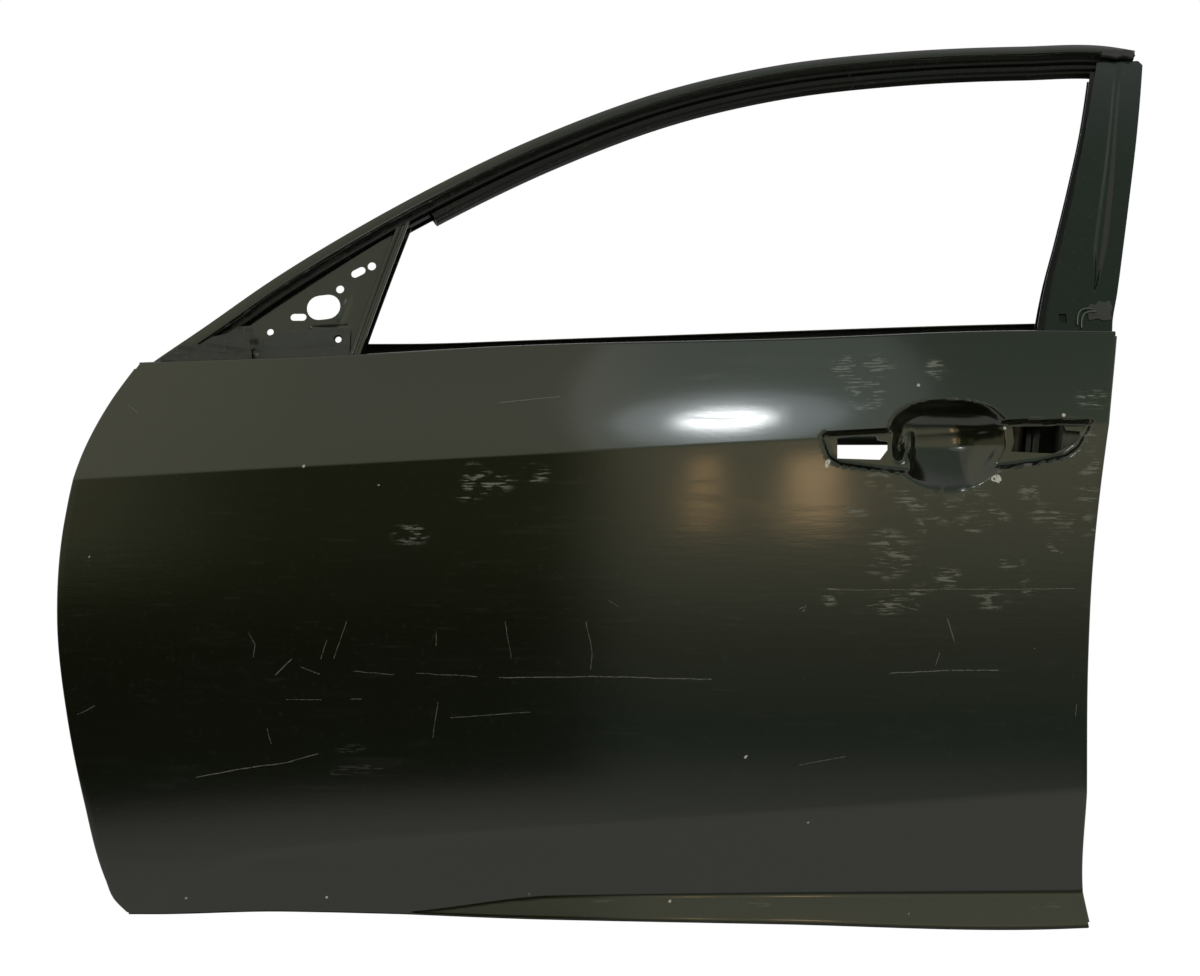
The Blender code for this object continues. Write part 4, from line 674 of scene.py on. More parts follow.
def pillar_details(dark, wire):
    """Behind the square hole a dark sheet in the channel finish that paints the shade seen through the hole;
    over the plate's foot the bent clip wire.
    """
    x, z = np.meshgrid(np.linspace(1.100, 1.124, 7), np.linspace(0.668, 0.690, 7))
    # Painted shade: a dark sheet standing in for the shade behind the square hole.
    hole_shade_sheet = sheet_of("clip_hole_shade_sheet", on_window(x, z, 0.0030))
    finished(hole_shade_sheet, PLATE_SHEET)
    placed(hole_shade_sheet, dark, "frame_paint")
    for name, shift in (("clip_wire_outer", 0.0), ("clip_wire_inner", 0.0042)):
        x, z = resampled(np.array(CLIP_WIRE) + np.array((shift, -shift * 0.8)), 60).T
        tube(name, on_window(x, z, -0.0012), 0.0009, wire, "plain_steel")


def sealant(finish):
    """Dried bead of sealant along the sash's channel: a wire whose radius and path wander with sums of
    waves."""
    line = resampled(SASH_EDGE, 900)[30:]
    along = np.linspace(0, 1, len(line))
    wave = sum(np.sin(along * k * 97.0 + k * k) / k ** 0.7 for k in range(1, 12)) / 4.0
    drift = sum(np.cos(along * k * 61.0 + 2.0 * k) / k for k in range(1, 9)) / 3.0
    low, high = (frame_rings(line, (spot,), INTO_WINDOW)[:, 0] for spot in ((13.4, 2.0), (14.8, 3.4)))
    path = low + (high - low) * np.clip(0.5 + drift, 0, 1)[:, None]
    thinning = 0.45 + 0.55 * ease((0.36 - along) / 0.1)
    tube("sealant_bead", path, (0.0004 + 0.0013 * ease(wave + 0.15)) * thinning, finish, "mastic", 7)


def bracket_plane():
    """One point of the mirror bracket's plane, and the direction square to it that leans inboard."""
    a, b, c = on_window(*np.array(BRACKET_PLANE).T, BRACKET_DEPTH)
    normal = unit(np.cross(b - a, c - a))
    return a, normal if normal[1] > 0 else -normal


def bracket_y(x, z):
    """y of the mirror bracket's plane at (x, z)."""
    spot, normal = bracket_plane()
    return spot[1] - (normal[0] * (x - spot[0]) + normal[2] * (z - spot[2])) / normal[1]


def pressed_line(away, width, along, ends, fades):
    """A pressed line as a share of its height: a bell curve across it that eases in and out along it."""
    start, end = ease((along - ends[0]) / fades[0]), ease((ends[1] - along) / fades[1])
    return np.exp(-(away / width) ** 2) * start * end


def mirror_plate(finish):
    """The mirror bracket: a plane with low pressed lines, trimmed to its outline and pierced."""
    x, z = np.meshgrid(np.linspace(0.150, 0.375, 151), np.linspace(0.598, 0.790, 129))
    upright = pressed_line(x - 0.3085 - 0.28 * (z - 0.695), 0.0035, z, (0.672, 0.712), (0.010, 0.015))
    level = pressed_line(z - 0.6715 - 0.05 * (x - 0.29), 0.0016, x, (0.268, 0.316), (0.006, 0.006))
    bulge = np.exp(-((x - 0.2065) / 0.010) ** 2 - ((z - 0.6420) / 0.007) ** 2)
    y = bracket_y(x, z) + 0.0016 * upright + 0.0018 * level - 0.0030 * bulge
    sheet = sheet_of("mirror_plate", np.stack([x, y, z], -1) + bracket_plane()[1] * PLATE_SHEET)
    rings = frame_rings(resampled(SASH_EDGE, 60), ((20.0, BRACKET_DEPTH / MM),), INTO_WINDOW)[:, 0]
    upper = rings[(rings[:, 0] > 0.160) & (rings[:, 0] < 0.350)][:, [0, 2]]
    (x1, z1), (x0, z0) = DIVISION_LINE
    rear = [(x0 + (x1 - x0) * (h - z0) / (z1 - z0) + 0.0003, h) for h in (0.775, 0.640, BRACKET_FOOT)]
    outline = [(0.1600, 0.6240)] + upper.tolist() + rear + [(0.222, BRACKET_FOOT), (0.212, 0.6240)]
    cuts = [prism("cut_hole", slot(*hole), THROUGH_BRACKET) for hole in BRACKET_HOLES]
    cuts.append(along_sash(-6.0, 24.3))
    finished(sheet, PLATE_SHEET, cuts, prism("keep_bracket", outline, THROUGH_BRACKET))
    placed(sheet, finish, "frame_paint", "mirror_bracket")


def base_plate(finish):
    """The strip at the bracket's foot: its plane with a shallow press around the screw hole."""
    hole_x, hole_z, *_ = BRACKET_HOLES[-1]
    x, z = np.meshgrid(np.linspace(0.205, 0.322, 110), np.linspace(0.616, 0.674, 64))
    y = bracket_y(x, z) - (PLATE_SHEET + FIT_GAP) / bracket_plane()[1][1]
    y = y + 0.0012 * ease(1.6 - np.hypot(x - hole_x, z - hole_z) / 0.009)
    sheet = sheet_of("triangle_strip", np.stack([x, y, z], -1))
    cuts = [prism("cut_strip", circle(hole_x, hole_z, 0.0052), THROUGH_BRACKET)]
    finished(sheet, PLATE_SHEET, cuts, prism("keep_strip", rounded(BASE_PLATE, 0.003), THROUGH_BRACKET))
    placed(sheet, finish, "primer", "triangle_base_plate")


# Inner panel: stations of its walls and of its flat inboard side.
FRONT_WALL, FRONT_WALL_LEAN, REAR_WALL, REAR_WALL_TOP, LOWER_WALL = 0.090, 0.030, 1.092, 0.52, 0.034
TRIM_PLANE, BELT_LEAN, BELT_LEAN_FROM = 0.140, 0.018, 0.565
STEP_RISE, WALL_FOOT, CORNER, CORNER_SPREAD, PAD_RISE = 0.012, 0.015, 0.008, 0.014, 0.003
LOWER_PAD, UPPER_PAD = (0.118, 0.192), (0.433, 0.507)
WALL_SHARES = (0.0, 0.16, 0.22, 0.28, 0.34, 0.70, 0.76, 0.82, 1.0)
FACE_COLUMNS = (0.115, 0.135, 0.19, 0.26, 0.335, 0.41, 0.485, 0.56, 0.635, 0.71, 0.775, 0.858, 0.934, 1.005,
                1.050, 1.070)
FACE_ROWS = (0.078, 0.112, 0.118, 0.123, 0.128, 0.182, 0.187, 0.192, 0.198, 0.25, 0.31, 0.37, 0.427, 0.433,
             0.438, 0.443, 0.497, 0.502, 0.507, 0.513, 0.545, 0.575, 0.605, 0.635, 0.66)
TOP_FROM, FLANGE_FOOT, FLANGE_STEP = 0.545, 0.030, 0.0065
SPEAKER = (0.262, 0.176, 0.080)
ACCESSES = (((0.40, 0.235), (0.44, 0.520), (0.69, 0.540), (0.705, 0.225)),
            ((0.765, 0.315), (0.765, 0.540), (0.965, 0.540), (0.985, 0.400), (0.93, 0.305)),
            ((0.80, 0.125), (0.80, 0.235), (0.985, 0.245), (1.01, 0.150)))
CLIP_HOLES = ((0.135, 0.30), (0.135, 0.43), (0.36, 0.085), (0.56, 0.085), (0.74, 0.085), (1.045, 0.09),
              (1.050, 0.28), (1.045, 0.44), (0.34, 0.47), (0.735, 0.42))
BEADS = ((0.30, 0.580, 0.72, 0.592), (0.78, 0.594, 1.02, 0.600), (0.43, 0.128, 0.72, 0.136),
         (0.43, 0.160, 0.72, 0.168), (0.735, 0.215, 0.735, 0.370), (0.165, 0.295, 0.34, 0.315))
BEAD_HEIGHT, BEAD_AWAY, RIM_WIDTH, BEAD_WIDTH = 0.0045, 0.012, 0.0045, 0.0065
HINGE_Y, CHECK_Z, HARNESS_Z, BOLT_PITCH, OPENING_CORNER = 0.0855, 0.335, 0.385, 0.040, 0.026
LATCH_MOUTH = ((0.070, 0.405), (0.070, 0.455), (0.098, 0.455), (0.098, 0.405))
LATCH_SCREWS = ((0.060, 0.385), (0.060, 0.475), (0.110, 0.430))
PANEL_TOP, PANEL_CELL, PANEL_FOLD, BELT_GAP = 0.66, 0.0052, 0.010, 0.004
HEM_IN, STEP_IN, HEM_UP, STEP_UP, WALL_TOP, PAD_EDGE = 0.014, 0.024, 0.013, 0.023, 0.63, 0.0025


def trim_y(z):
    """y of the panel's flat inboard side, which leans outboard towards the belt."""
    return TRIM_PLANE - BELT_LEAN * ease((z - BELT_LEAN_FROM) / (PANEL_TOP - BELT_LEAN_FROM))


def panel_place(kind, share, a, b, z):
    """x of a control column at height z."""
    z = min(z, PANEL_TOP)
    edge, rear = styled_line(FRONT_EDGE, z), styled_line(REAR_EDGE, z)
    wall = max(FRONT_WALL, styled_line(FRONT_EDGE, min(z, WALL_TOP)) + FRONT_WALL_LEAN)
    back = REAR_WALL + max(0.0, rear - styled_line(REAR_EDGE, REAR_WALL_TOP))
    inset, spread = SKIN_SHEET + HEM_CLEAR, CORNER_SPREAD * max(0.0, a - b)
    places = {
        "edge": edge + inset,
        "hem": edge + min(HEM_IN, (wall - edge) * 0.5),
        "step": edge + min(STEP_IN, (wall - edge) * 0.8),
        "wall": wall + spread,
        "start": wall + CORNER + spread,
        "face": column_x(share, z) if b == 0.0 else share,
        "end": back - CORNER - spread,
        "back": back - spread,
        "step_back": rear - STEP_IN,
        "hem_back": rear - HEM_IN,
        "edge_back": rear - inset,
    }
    return places[kind]


def panel_height(level, height, a, b, x):
    """z of a control row at x."""
    bottom = styled_line(BOTTOM_EDGE, x)
    spread = CORNER_SPREAD * max(0.0, b - a)
    low = {"edge": bottom + SKIN_SHEET + HEM_CLEAR, "hem": bottom + HEM_UP, "step": bottom + STEP_UP,
           "wall": bottom + LOWER_WALL + spread, "start": bottom + LOWER_WALL + CORNER + spread}
    if level in low:
        return low[level]
    if height <= TOP_FROM and level == "face":
        return height
    share = 1.0 if level == "fold" else (height - TOP_FROM) / (FACE_ROWS[-1] - TOP_FROM)
    side_top, face_top = styled_line(BELT_LINE, x) - BELT_GAP, styled_line(INNER_BELT, x)
    return TOP_FROM + share * ((1 - a) * side_top + a * face_top - TOP_FROM)


def panel_spot(column, row, order):
    """One control point of the inner panel: a pan whose walls rise from the hem flange to the trim plane."""
    (kind, share), (level, height) = column, row
    on_face, high = kind in ("start", "face", "end"), level in ("start", "face", "fold")
    a = share if kind in ("wall", "back") else float(on_face)
    b = height if level == "wall" else float(high)
    x, z = 0.5, height if level == "face" else PANEL_TOP if level == "fold" else 0.03
    for _ in range(6):
        x = panel_place(kind, share, a, b, z)
        z = panel_height(level, height, a, b, x)
        if a == 0.0 and level in ("wall", "start", "face"):
            lowest = styled_line(BOTTOM_EDGE, x) + FLANGE_FOOT + FLANGE_STEP * order
            z = min(max(z, lowest), styled_line(BELT_LINE, x) - BELT_GAP)
    foot = body_side(x, z) + SKIN_SHEET + HEM_CLEAR
    rise = min(a, b)
    y = foot
    if kind not in ("edge", "hem", "hem_back", "edge_back") and level not in ("edge", "hem"):
        y = foot + (WALL_FOOT if a or b or "wall" in (kind, level) else STEP_RISE)
    if rise > 0:
        y = foot + WALL_FOOT + rise * (trim_y(z) - CORNER - foot - WALL_FOOT)
    if on_face and high:
        y = trim_y(z)
    if kind == "wall" and 0.25 < share < 0.8 and level == "face":
        on_pad = (low + PAD_EDGE < height < top - PAD_EDGE for low, top in (LOWER_PAD, UPPER_PAD))
        x = x - PAD_RISE * any(on_pad)
    return x, y - PANEL_FOLD * a * (level == "fold"), z


def curved(net, cell):
    """A quadratic B-spline through a control net along its first axis: between the middles of neighbouring
    spans the surface is the mean of three control rows weighted by powers of the way along."""
    padded = np.concatenate([net[:1], net, net[-1:]])
    rows = []
    for before, here, after in zip(padded, padded[1:], padded[2:]):
        length = np.linalg.norm((after - before) / 2, axis=-1).mean()
        for t in np.arange(count := max(3, int(round(length / cell)))) / count:
            rows.append(0.5 * (1 - t) ** 2 * before + (0.5 + t * (1 - t)) * here + 0.5 * t * t * after)
    return np.stack(rows + [net[-1]])


def beads(x, z):
    """Height of the pressed beads as a share: bell curves of the distance to lines, to the speaker's rim and
    to the openings."""
    rim = np.hypot(x - SPEAKER[0], z - SPEAKER[1]) - SPEAKER[2] - BEAD_AWAY
    height = 0.8 * np.exp(-(rim / RIM_WIDTH) ** 2)
    for outline in ACCESSES:
        rim = inside(rounded(outline, OPENING_CORNER), x, z) + BEAD_AWAY
        height = np.maximum(height, 0.7 * np.exp(-(rim / RIM_WIDTH) ** 2))
    for ax, az, bx, bz in BEADS:
        away = to_line((ax, az), (bx, bz), x, z)
        height = np.maximum(height, np.exp(-(away / BEAD_WIDTH) ** 2))
    return height


def inner_panel(finish, bead_height):
    """The deep pan: a smooth surface over its control net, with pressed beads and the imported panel's
    openings."""
    flange = [("edge", 0.0), ("hem", 0.0), ("step", 0.0)]
    columns = flange + [("wall", share) for share in WALL_SHARES] + [("start", 1.0)]
    columns += [("face", place) for place in FACE_COLUMNS] + [("end", 1.0)]
    columns += [("back", share) for share in (1.0, 0.70, 0.30, 0.0)]
    columns += [("step_back", 0.0), ("hem_back", 0.0), ("edge_back", 0.0)]
    rows = flange + [("wall", share) for share in (0.0, 0.5, 1.0)] + [("start", 1.0)]
    rows += [("face", place) for place in FACE_ROWS] + [("fold", 0.0)]
    net = np.array([[panel_spot(c, r, j - 3) for c in columns] for j, r in enumerate(rows)], float)
    across = curved(net, PANEL_CELL)
    points = curved(across.transpose(1, 0, 2), PANEL_CELL).transpose(1, 0, 2)
    x, y, z = points[..., 0], points[..., 1], points[..., 2]
    y += bead_height * beads(x, z) * ease((y - trim_y(z) + 0.004) / 0.004) * ease((0.615 - z) / 0.01)
    faces = grid_faces(points.shape[1], points.shape[0])
    corners = points.reshape(-1, 3)[faces]
    area = np.linalg.norm(np.cross(corners[:, 2] - corners[:, 0], corners[:, 3] - corners[:, 1]), axis=1)
    panel = sheet_of("inner_pan", points, faces[area > 2e-8])
    bolts = [(sum(pad) / 2 + side * BOLT_PITCH / 2) for pad in (LOWER_PAD, UPPER_PAD) for side in (-1, 1)]
    cuts = [prism("cut_face", outline, THROUGH_TRIM) for outline in
            [circle(*SPEAKER, 72)] + [rounded(access, OPENING_CORNER, 12) for access in ACCESSES]]
    cuts += [prism("cut_clip", circle(*spot, 0.0042, 20), THROUGH_TRIM) for spot in CLIP_HOLES]
    cuts += [prism("cut_bolt", circle(HINGE_Y, height, 0.0052, 24), THROUGH_HINGE_WALL) for height in bolts]
    cuts += [prism("cut_check", slot(HINGE_Y, CHECK_Z, 0.036, 0.016), THROUGH_HINGE_WALL),
             prism("cut_harness", circle(HINGE_Y, HARNESS_Z, 0.015), THROUGH_HINGE_WALL),
             prism("cut_latch", rounded(LATCH_MOUTH, 0.004), THROUGH_LATCH_WALL)]
    cuts += [prism("cut_screw", circle(*spot, 0.0036, 20), THROUGH_LATCH_WALL) for spot in LATCH_SCREWS]
    finished(panel, PANEL_SHEET, cuts, even=False)
    placed(panel, finish, "inner_paint", "inner_panel")


def residue(finish):
    """Crumpled remains of the corner seal in front of the sash foot: an outline filled with sums of waves."""
    x, z = np.meshgrid(np.linspace(0.100, 0.238, 150), np.linspace(0.612, 0.674, 68))
    waves = sum(np.sin(k * 37.0 * x + 23.0 * k * z * (1 + k % 3) + k * k)
                * np.cos(k * 61.0 * z - 19.0 * k * x + k) / k for k in range(2, 9))
    sheet = sheet_of("seal_residue", np.stack([x, glass_y(x, z) - 0.0040 + 0.0016 * waves, z], -1))
    finished(sheet, 0.0009, (), prism("keep_residue", rounded(RESIDUE, 0.002), THROUGH_BRACKET), sharp=60)
    placed(sheet, finish, "mastic")


# Materials.


class Nodes:
    """Short calls for placing and joining shader nodes."""

    def __init__(self, tree):
        self.tree = tree

    def add(self, kind, **values):
        node = self.tree.nodes.new(kind)
        for key, value in values.items():
            setattr(node, key, value)
        return node

    def feed(self, target, value):
        if hasattr(value, "links") or hasattr(value, "is_linked"):
            self.tree.links.new(value, target)
        else:
            target.default_value = value

    def math(self, operation, a, b=0.0, c=0.0, clamp=False):
        node = self.add("ShaderNodeMath", operation=operation, use_clamp=clamp)
        for target, value in zip(node.inputs, (a, b, c)):
            self.feed(target, value)
        return node.outputs[0]

    def mix(self, share, a, b):
        node = self.add("ShaderNodeMix", data_type="RGBA")
        self.feed(node.inputs["Factor"], share)
        for target, value in zip(node.inputs[6:8], (a, b)):
            self.feed(target, value if hasattr(value, "links") else (*value, 1.0))
        return node.outputs[2]

    def noise(self, coordinates, scale, detail=3.0, roughness=0.5, stretch=(1, 1, 1), distortion=0.0):
        place = self.add("ShaderNodeMapping")
        place.inputs["Scale"].default_value = stretch
        self.feed(place.inputs["Vector"], coordinates)
        node = self.add("ShaderNodeTexNoise")
        node.inputs["Scale"].default_value = scale
        node.inputs["Detail"].default_value = detail
        node.inputs["Roughness"].default_value = roughness
        node.inputs["Distortion"].default_value = distortion
        self.feed(node.inputs["Vector"], place.outputs[0])
        return node.outputs["Fac"]

    def ramp(self, value, low, high, to_low=0.0, to_high=1.0):
        node = self.add("ShaderNodeMapRange", interpolation_type="SMOOTHSTEP")
        for target, given in zip(node.inputs[:5], (value, low, high, to_low, to_high)):
            self.feed(target, given)
        return node.outputs[0]


def new_group(name, inputs, outputs):
    """A node group with sockets: its nodes, what it is given and what it gives."""
    group = bpy.data.node_groups.new(name, "ShaderNodeTree")
    for label, kind, value in inputs:
        made = group.interface.new_socket(name=label, in_out="INPUT", socket_type=kind)
        if value is not None:
            made.default_value = value
    for label, kind in outputs:
        group.interface.new_socket(name=label, in_out="OUTPUT", socket_type=kind)
    n = Nodes(group)
    return n, n.add("NodeGroupInput").outputs, n.add("NodeGroupOutput").inputs


def film_group():
    """Paint film: broad clouding of the colour, haze that dulls the gloss, orange peel and fine rubbing."""
    n, given, out = new_group(
        "paint_film",
        (("Colour", "NodeSocketColor", (0.01, 0.01, 0.008, 1)),
         ("Tint", "NodeSocketColor", (0.01, 0.02, 0.015, 1)), ("Gloss", "NodeSocketFloat", 0.2),
         ("Haze", "NodeSocketFloat", 0.1), ("Peel", "NodeSocketFloat", 0.05)),
        (("Colour", "NodeSocketColor"), ("Roughness", "NodeSocketFloat"), ("Normal", "NodeSocketVector")))
    place = n.add("ShaderNodeTexCoord").outputs["Object"]
    cloud = n.noise(place, 3.2, 2.0, 0.5)
    shade = n.ramp(cloud, 0.35, 0.68)
    colour = n.mix(n.math("MULTIPLY", shade, 0.45), given["Colour"], given["Tint"])
    rub = n.noise(place, 26.0, 4.0, 0.65, (0.25, 1.0, 2.2), 0.3)
    rubbed = n.ramp(rub, 0.52, 0.78)
    dust = n.noise(place, 190.0, 2.0, 0.6)
    dusty = n.math("MULTIPLY", n.ramp(dust, 0.60, 0.75), given["Haze"])
    colour = n.mix(n.math("MULTIPLY", dusty, 0.35), colour, (0.10, 0.10, 0.09))
    rough = n.math("ADD", given["Gloss"], n.math("MULTIPLY", rubbed, n.math("MULTIPLY", given["Haze"], 0.5)))
    rough = n.math("ADD", rough, n.math("MULTIPLY", cloud, n.math("MULTIPLY", given["Haze"], 0.25)))
    peel = n.noise(place, 520.0, 2.0, 0.5)
    bump = n.add("ShaderNodeBump")
    bump.inputs["Distance"].default_value = 0.0002
    n.feed(bump.inputs["Strength"], given["Peel"])
    n.feed(bump.inputs["Height"], peel)
    n.feed(out["Colour"], colour)
    n.feed(out["Roughness"], rough)
    n.feed(out["Normal"], bump.outputs[0])


def mark_group():
    """One stroke, a scratch or the painted highlight on the bowl's lip: 1 near the line from Start to End,
    seen square to the door, broken by noise.
    """
    vectors = [(label, "NodeSocketVector", None) for label in ("Place", "Start", "End")]
    numbers = [("Width", "NodeSocketFloat", THIN), ("Break", "NodeSocketFloat", 0.5)]
    n, given, out = new_group("mark", vectors + numbers, [("Mask", "NodeSocketFloat")])

    def vector(operation, a, b=None):
        node = n.add("ShaderNodeVectorMath", operation=operation)
        n.feed(node.inputs[0], a)
        if b is not None:
            n.feed(node.inputs[1], b)
        return node

    flat = vector("MULTIPLY", given["Place"], (1, 0, 1)).outputs[0]
    away = vector("SUBTRACT", flat, given["Start"]).outputs[0]
    line = vector("SUBTRACT", given["End"], given["Start"]).outputs[0]
    along = n.math("DIVIDE", vector("DOT_PRODUCT", away, line).outputs["Value"],
                   vector("DOT_PRODUCT", line, line).outputs["Value"], clamp=True)
    reach = vector("SCALE", line)
    n.feed(reach.inputs["Scale"], along)
    gap = vector("DISTANCE", away, reach.outputs[0]).outputs["Value"]
    mask = n.ramp(n.math("DIVIDE", gap, given["Width"]), 1.0, 0.3)
    n.feed(out["Mask"], n.math("MULTIPLY", mask, given["Break"]))


# How far a slow noise bends the scratch strokes and the painted highlight, how much wider than listed they
# are drawn, and the length added to each stroke so that none is a point.
WOBBLE, MARK_WIDENING, LEAST_LENGTH = 0.0022, 1.25, 0.00002


def mark_spot(x, z, lift=0.0):
    """The end of a stroke in the part's frame, set off by the noise's mean shift."""
    return x - DATUM[0] + WOBBLE / 2, 0, z - DATUM[2] + WOBBLE / 2 + lift


def marks(n, place):
    """Mask of all scratch strokes and of the painted highlight on the bowl's lip: the greatest of their
    marks, read at a place that a slow noise has shifted.
    """
    wobble = n.add("ShaderNodeTexNoise")
    wobble.inputs["Scale"].default_value = 60.0
    n.feed(wobble.inputs["Vector"], place)
    shift = n.add("ShaderNodeVectorMath", operation="MULTIPLY_ADD")
    n.feed(shift.inputs[0], wobble.outputs["Color"])
    shift.inputs[1].default_value = (WOBBLE, 0.0, WOBBLE)
    n.feed(shift.inputs[2], place)
    broken = n.ramp(n.noise(place, 420.0, 2.0, 0.6), 0.34, 0.56, 0.15, 1.0)
    best = None
    for width, line in SCRATCHES_AND_RIM_HIGHLIGHT:
        for start, end in zip(line, line[1:]):
            node = n.add("ShaderNodeGroup", node_tree=bpy.data.node_groups["mark"])
            n.feed(node.inputs["Place"], shift.outputs[0])
            node.inputs["Start"].default_value = mark_spot(*start)
            node.inputs["End"].default_value = mark_spot(*end, LEAST_LENGTH)
            node.inputs["Width"].default_value = MARK_WIDENING * width
            n.feed(node.inputs["Break"], broken)
            best = node.outputs[0] if best is None else n.math("MAXIMUM", best, node.outputs[0])
    return best


# Share and colour of what shows through at rubbed patches, fine rubbing, smears and scratch strokes, the last
# also the colour of the painted highlight on the bowl's lip, then the colour of the undercoat in chips.
WEAR_AND_HIGHLIGHT_LOOKS = ((0.75, (0.120, 0.120, 0.092)), (0.05, (0.09, 0.085, 0.06)), (0.18, (0.12, 0.12, 0.10)),
              (0.50, (0.18, 0.175, 0.14)))
UNDERCOAT = (0.42, 0.40, 0.33)


def body_finish(name, colour, tint, gloss, haze, peel):
    """The skin's paint: the film, lengthwise rubbing that dulls it, hatched rubbed patches, scratch strokes
    with a painted highlight along the bowl's lip among them, smears and chips down to pale undercoat."""
    made = painted(name, colour, tint, gloss, haze, peel)
    tree = made.node_tree
    n = Nodes(tree)
    shader = tree.nodes["Principled BSDF"]
    film = next(node for node in tree.nodes if node.type == "GROUP")
    place = n.add("ShaderNodeTexCoord").outputs["Object"]
    # The scratch mask also paints the highlight along the bowl's lip in the pale scratch colour.
    scratch_and_rim_highlight = marks(n, place)
    rubbed, chipped, smeared = (n.add("ShaderNodeAttribute", attribute_name=kind).outputs["Fac"]
                                for kind in ("rubbed", "chipped", "smeared"))
    flakes = n.noise(place, 330.0, 2.0, 0.6)
    chips = n.math("MULTIPLY", n.ramp(flakes, 0.38, 0.44), n.ramp(chipped, 0.66, 0.80))
    hatch = n.ramp(n.noise(place, 300.0, 3.0, 0.62, (0.12, 1.0, 1.30), 0.25), 0.50, 0.57)
    smears = n.math("MULTIPLY", hatch, n.ramp(smeared, 0.2, 0.8))
    clumps = n.ramp(n.noise(place, 95.0, 2.0, 0.5, (0.55, 1.0, 1.0)), 0.42, 0.56)
    patch = n.math("MULTIPLY", n.math("MULTIPLY", hatch, clumps), n.ramp(rubbed, 0.10, 0.75))
    streaks = n.noise(place, 170.0, 4.0, 0.6, (0.11, 1.0, 1.0))
    fine = n.ramp(streaks, 0.60, 0.72)
    split = n.add("ShaderNodeSeparateXYZ")
    n.feed(split.inputs[0], place)
    height = split.outputs[2]
    worn = n.math("MULTIPLY", n.ramp(height, 0.02, 0.12), n.ramp(height, 0.36, 0.30))
    worn = n.math("MULTIPLY_ADD", worn, 0.8, 0.2)
    colour = film.outputs["Colour"]
    masks = (patch, n.math("MULTIPLY", fine, worn), smears, scratch_and_rim_highlight)
    for mask, (share, shown) in zip(masks, WEAR_AND_HIGHLIGHT_LOOKS):
        colour = n.mix(n.math("MULTIPLY", mask, share), colour, shown)
    colour = n.mix(chips, colour, UNDERCOAT)
    rough = n.math("MULTIPLY_ADD", n.math("MULTIPLY", streaks, worn), 0.05, film.outputs["Roughness"])
    rough = n.math("MULTIPLY_ADD", n.math("MAXIMUM", patch, n.math("MAXIMUM", scratch_and_rim_highlight, chips)), 0.4, rough)
    ripple = n.add("ShaderNodeBump")
    ripple.inputs["Distance"].default_value = 0.0003
    n.feed(ripple.inputs["Strength"], n.math("MULTIPLY", worn, 0.16))
    n.feed(ripple.inputs["Height"], streaks)
    n.feed(ripple.inputs["Normal"], film.outputs["Normal"])
    n.feed(shader.inputs["Base Color"], colour)
    n.feed(shader.inputs["Roughness"], rough)
    n.feed(shader.inputs["Normal"], ripple.outputs[0])
    return made


def painted(name, colour, tint, gloss, haze, peel, metallic=0.0, shine=0.5):
    """A finish whose colour, gloss and surface come from the paint film."""
    made = bpy.data.materials.new(name + "_finish")
    made.use_nodes = True
    n = Nodes(made.node_tree)
    shader = made.node_tree.nodes["Principled BSDF"]
    shader.inputs["Metallic"].default_value = metallic
    shader.inputs["Specular IOR Level"].default_value = shine
    film = n.add("ShaderNodeGroup", node_tree=bpy.data.node_groups["paint_film"])
    given = {"Colour": (*colour, 1), "Tint": (*tint, 1), "Gloss": gloss, "Haze": haze, "Peel": peel}
    for label, value in given.items():
        film.inputs[label].default_value = value
    n.feed(shader.inputs["Base Color"], film.outputs["Colour"])
    n.feed(shader.inputs["Roughness"], film.outputs["Roughness"])
    n.feed(shader.inputs["Normal"], film.outputs["Normal"])
    made.diffuse_color = (*colour, 1)
    return made


def finish_named(name):
    """The finish of that name."""
    return bpy.data.materials[name + "_finish"]


# Stage.

CAMERA_PLACE, LENS, SENSOR_WIDTH = (0.5955, -1.80, 0.490), 50.0, 36.0


def area_lamp(name, place, aim, size, power, colour, shape):
    """A lamp that the camera doesn't see, turned from its place to its aim."""
    data = bpy.data.lights.new(name, "AREA")
    data.shape, data.size, data.size_y = shape, *size
    data.energy, data.color = power, colour
    lamp = bpy.data.objects.new(name, data)
    bpy.context.scene.collection.objects.link(lamp)
    lamp.location = np.array(place) - DATUM
    lamp.rotation_euler = Vector(np.array(aim) - np.array(place)).to_track_quat("-Z", "Y").to_euler()
    lamp.visible_camera = False


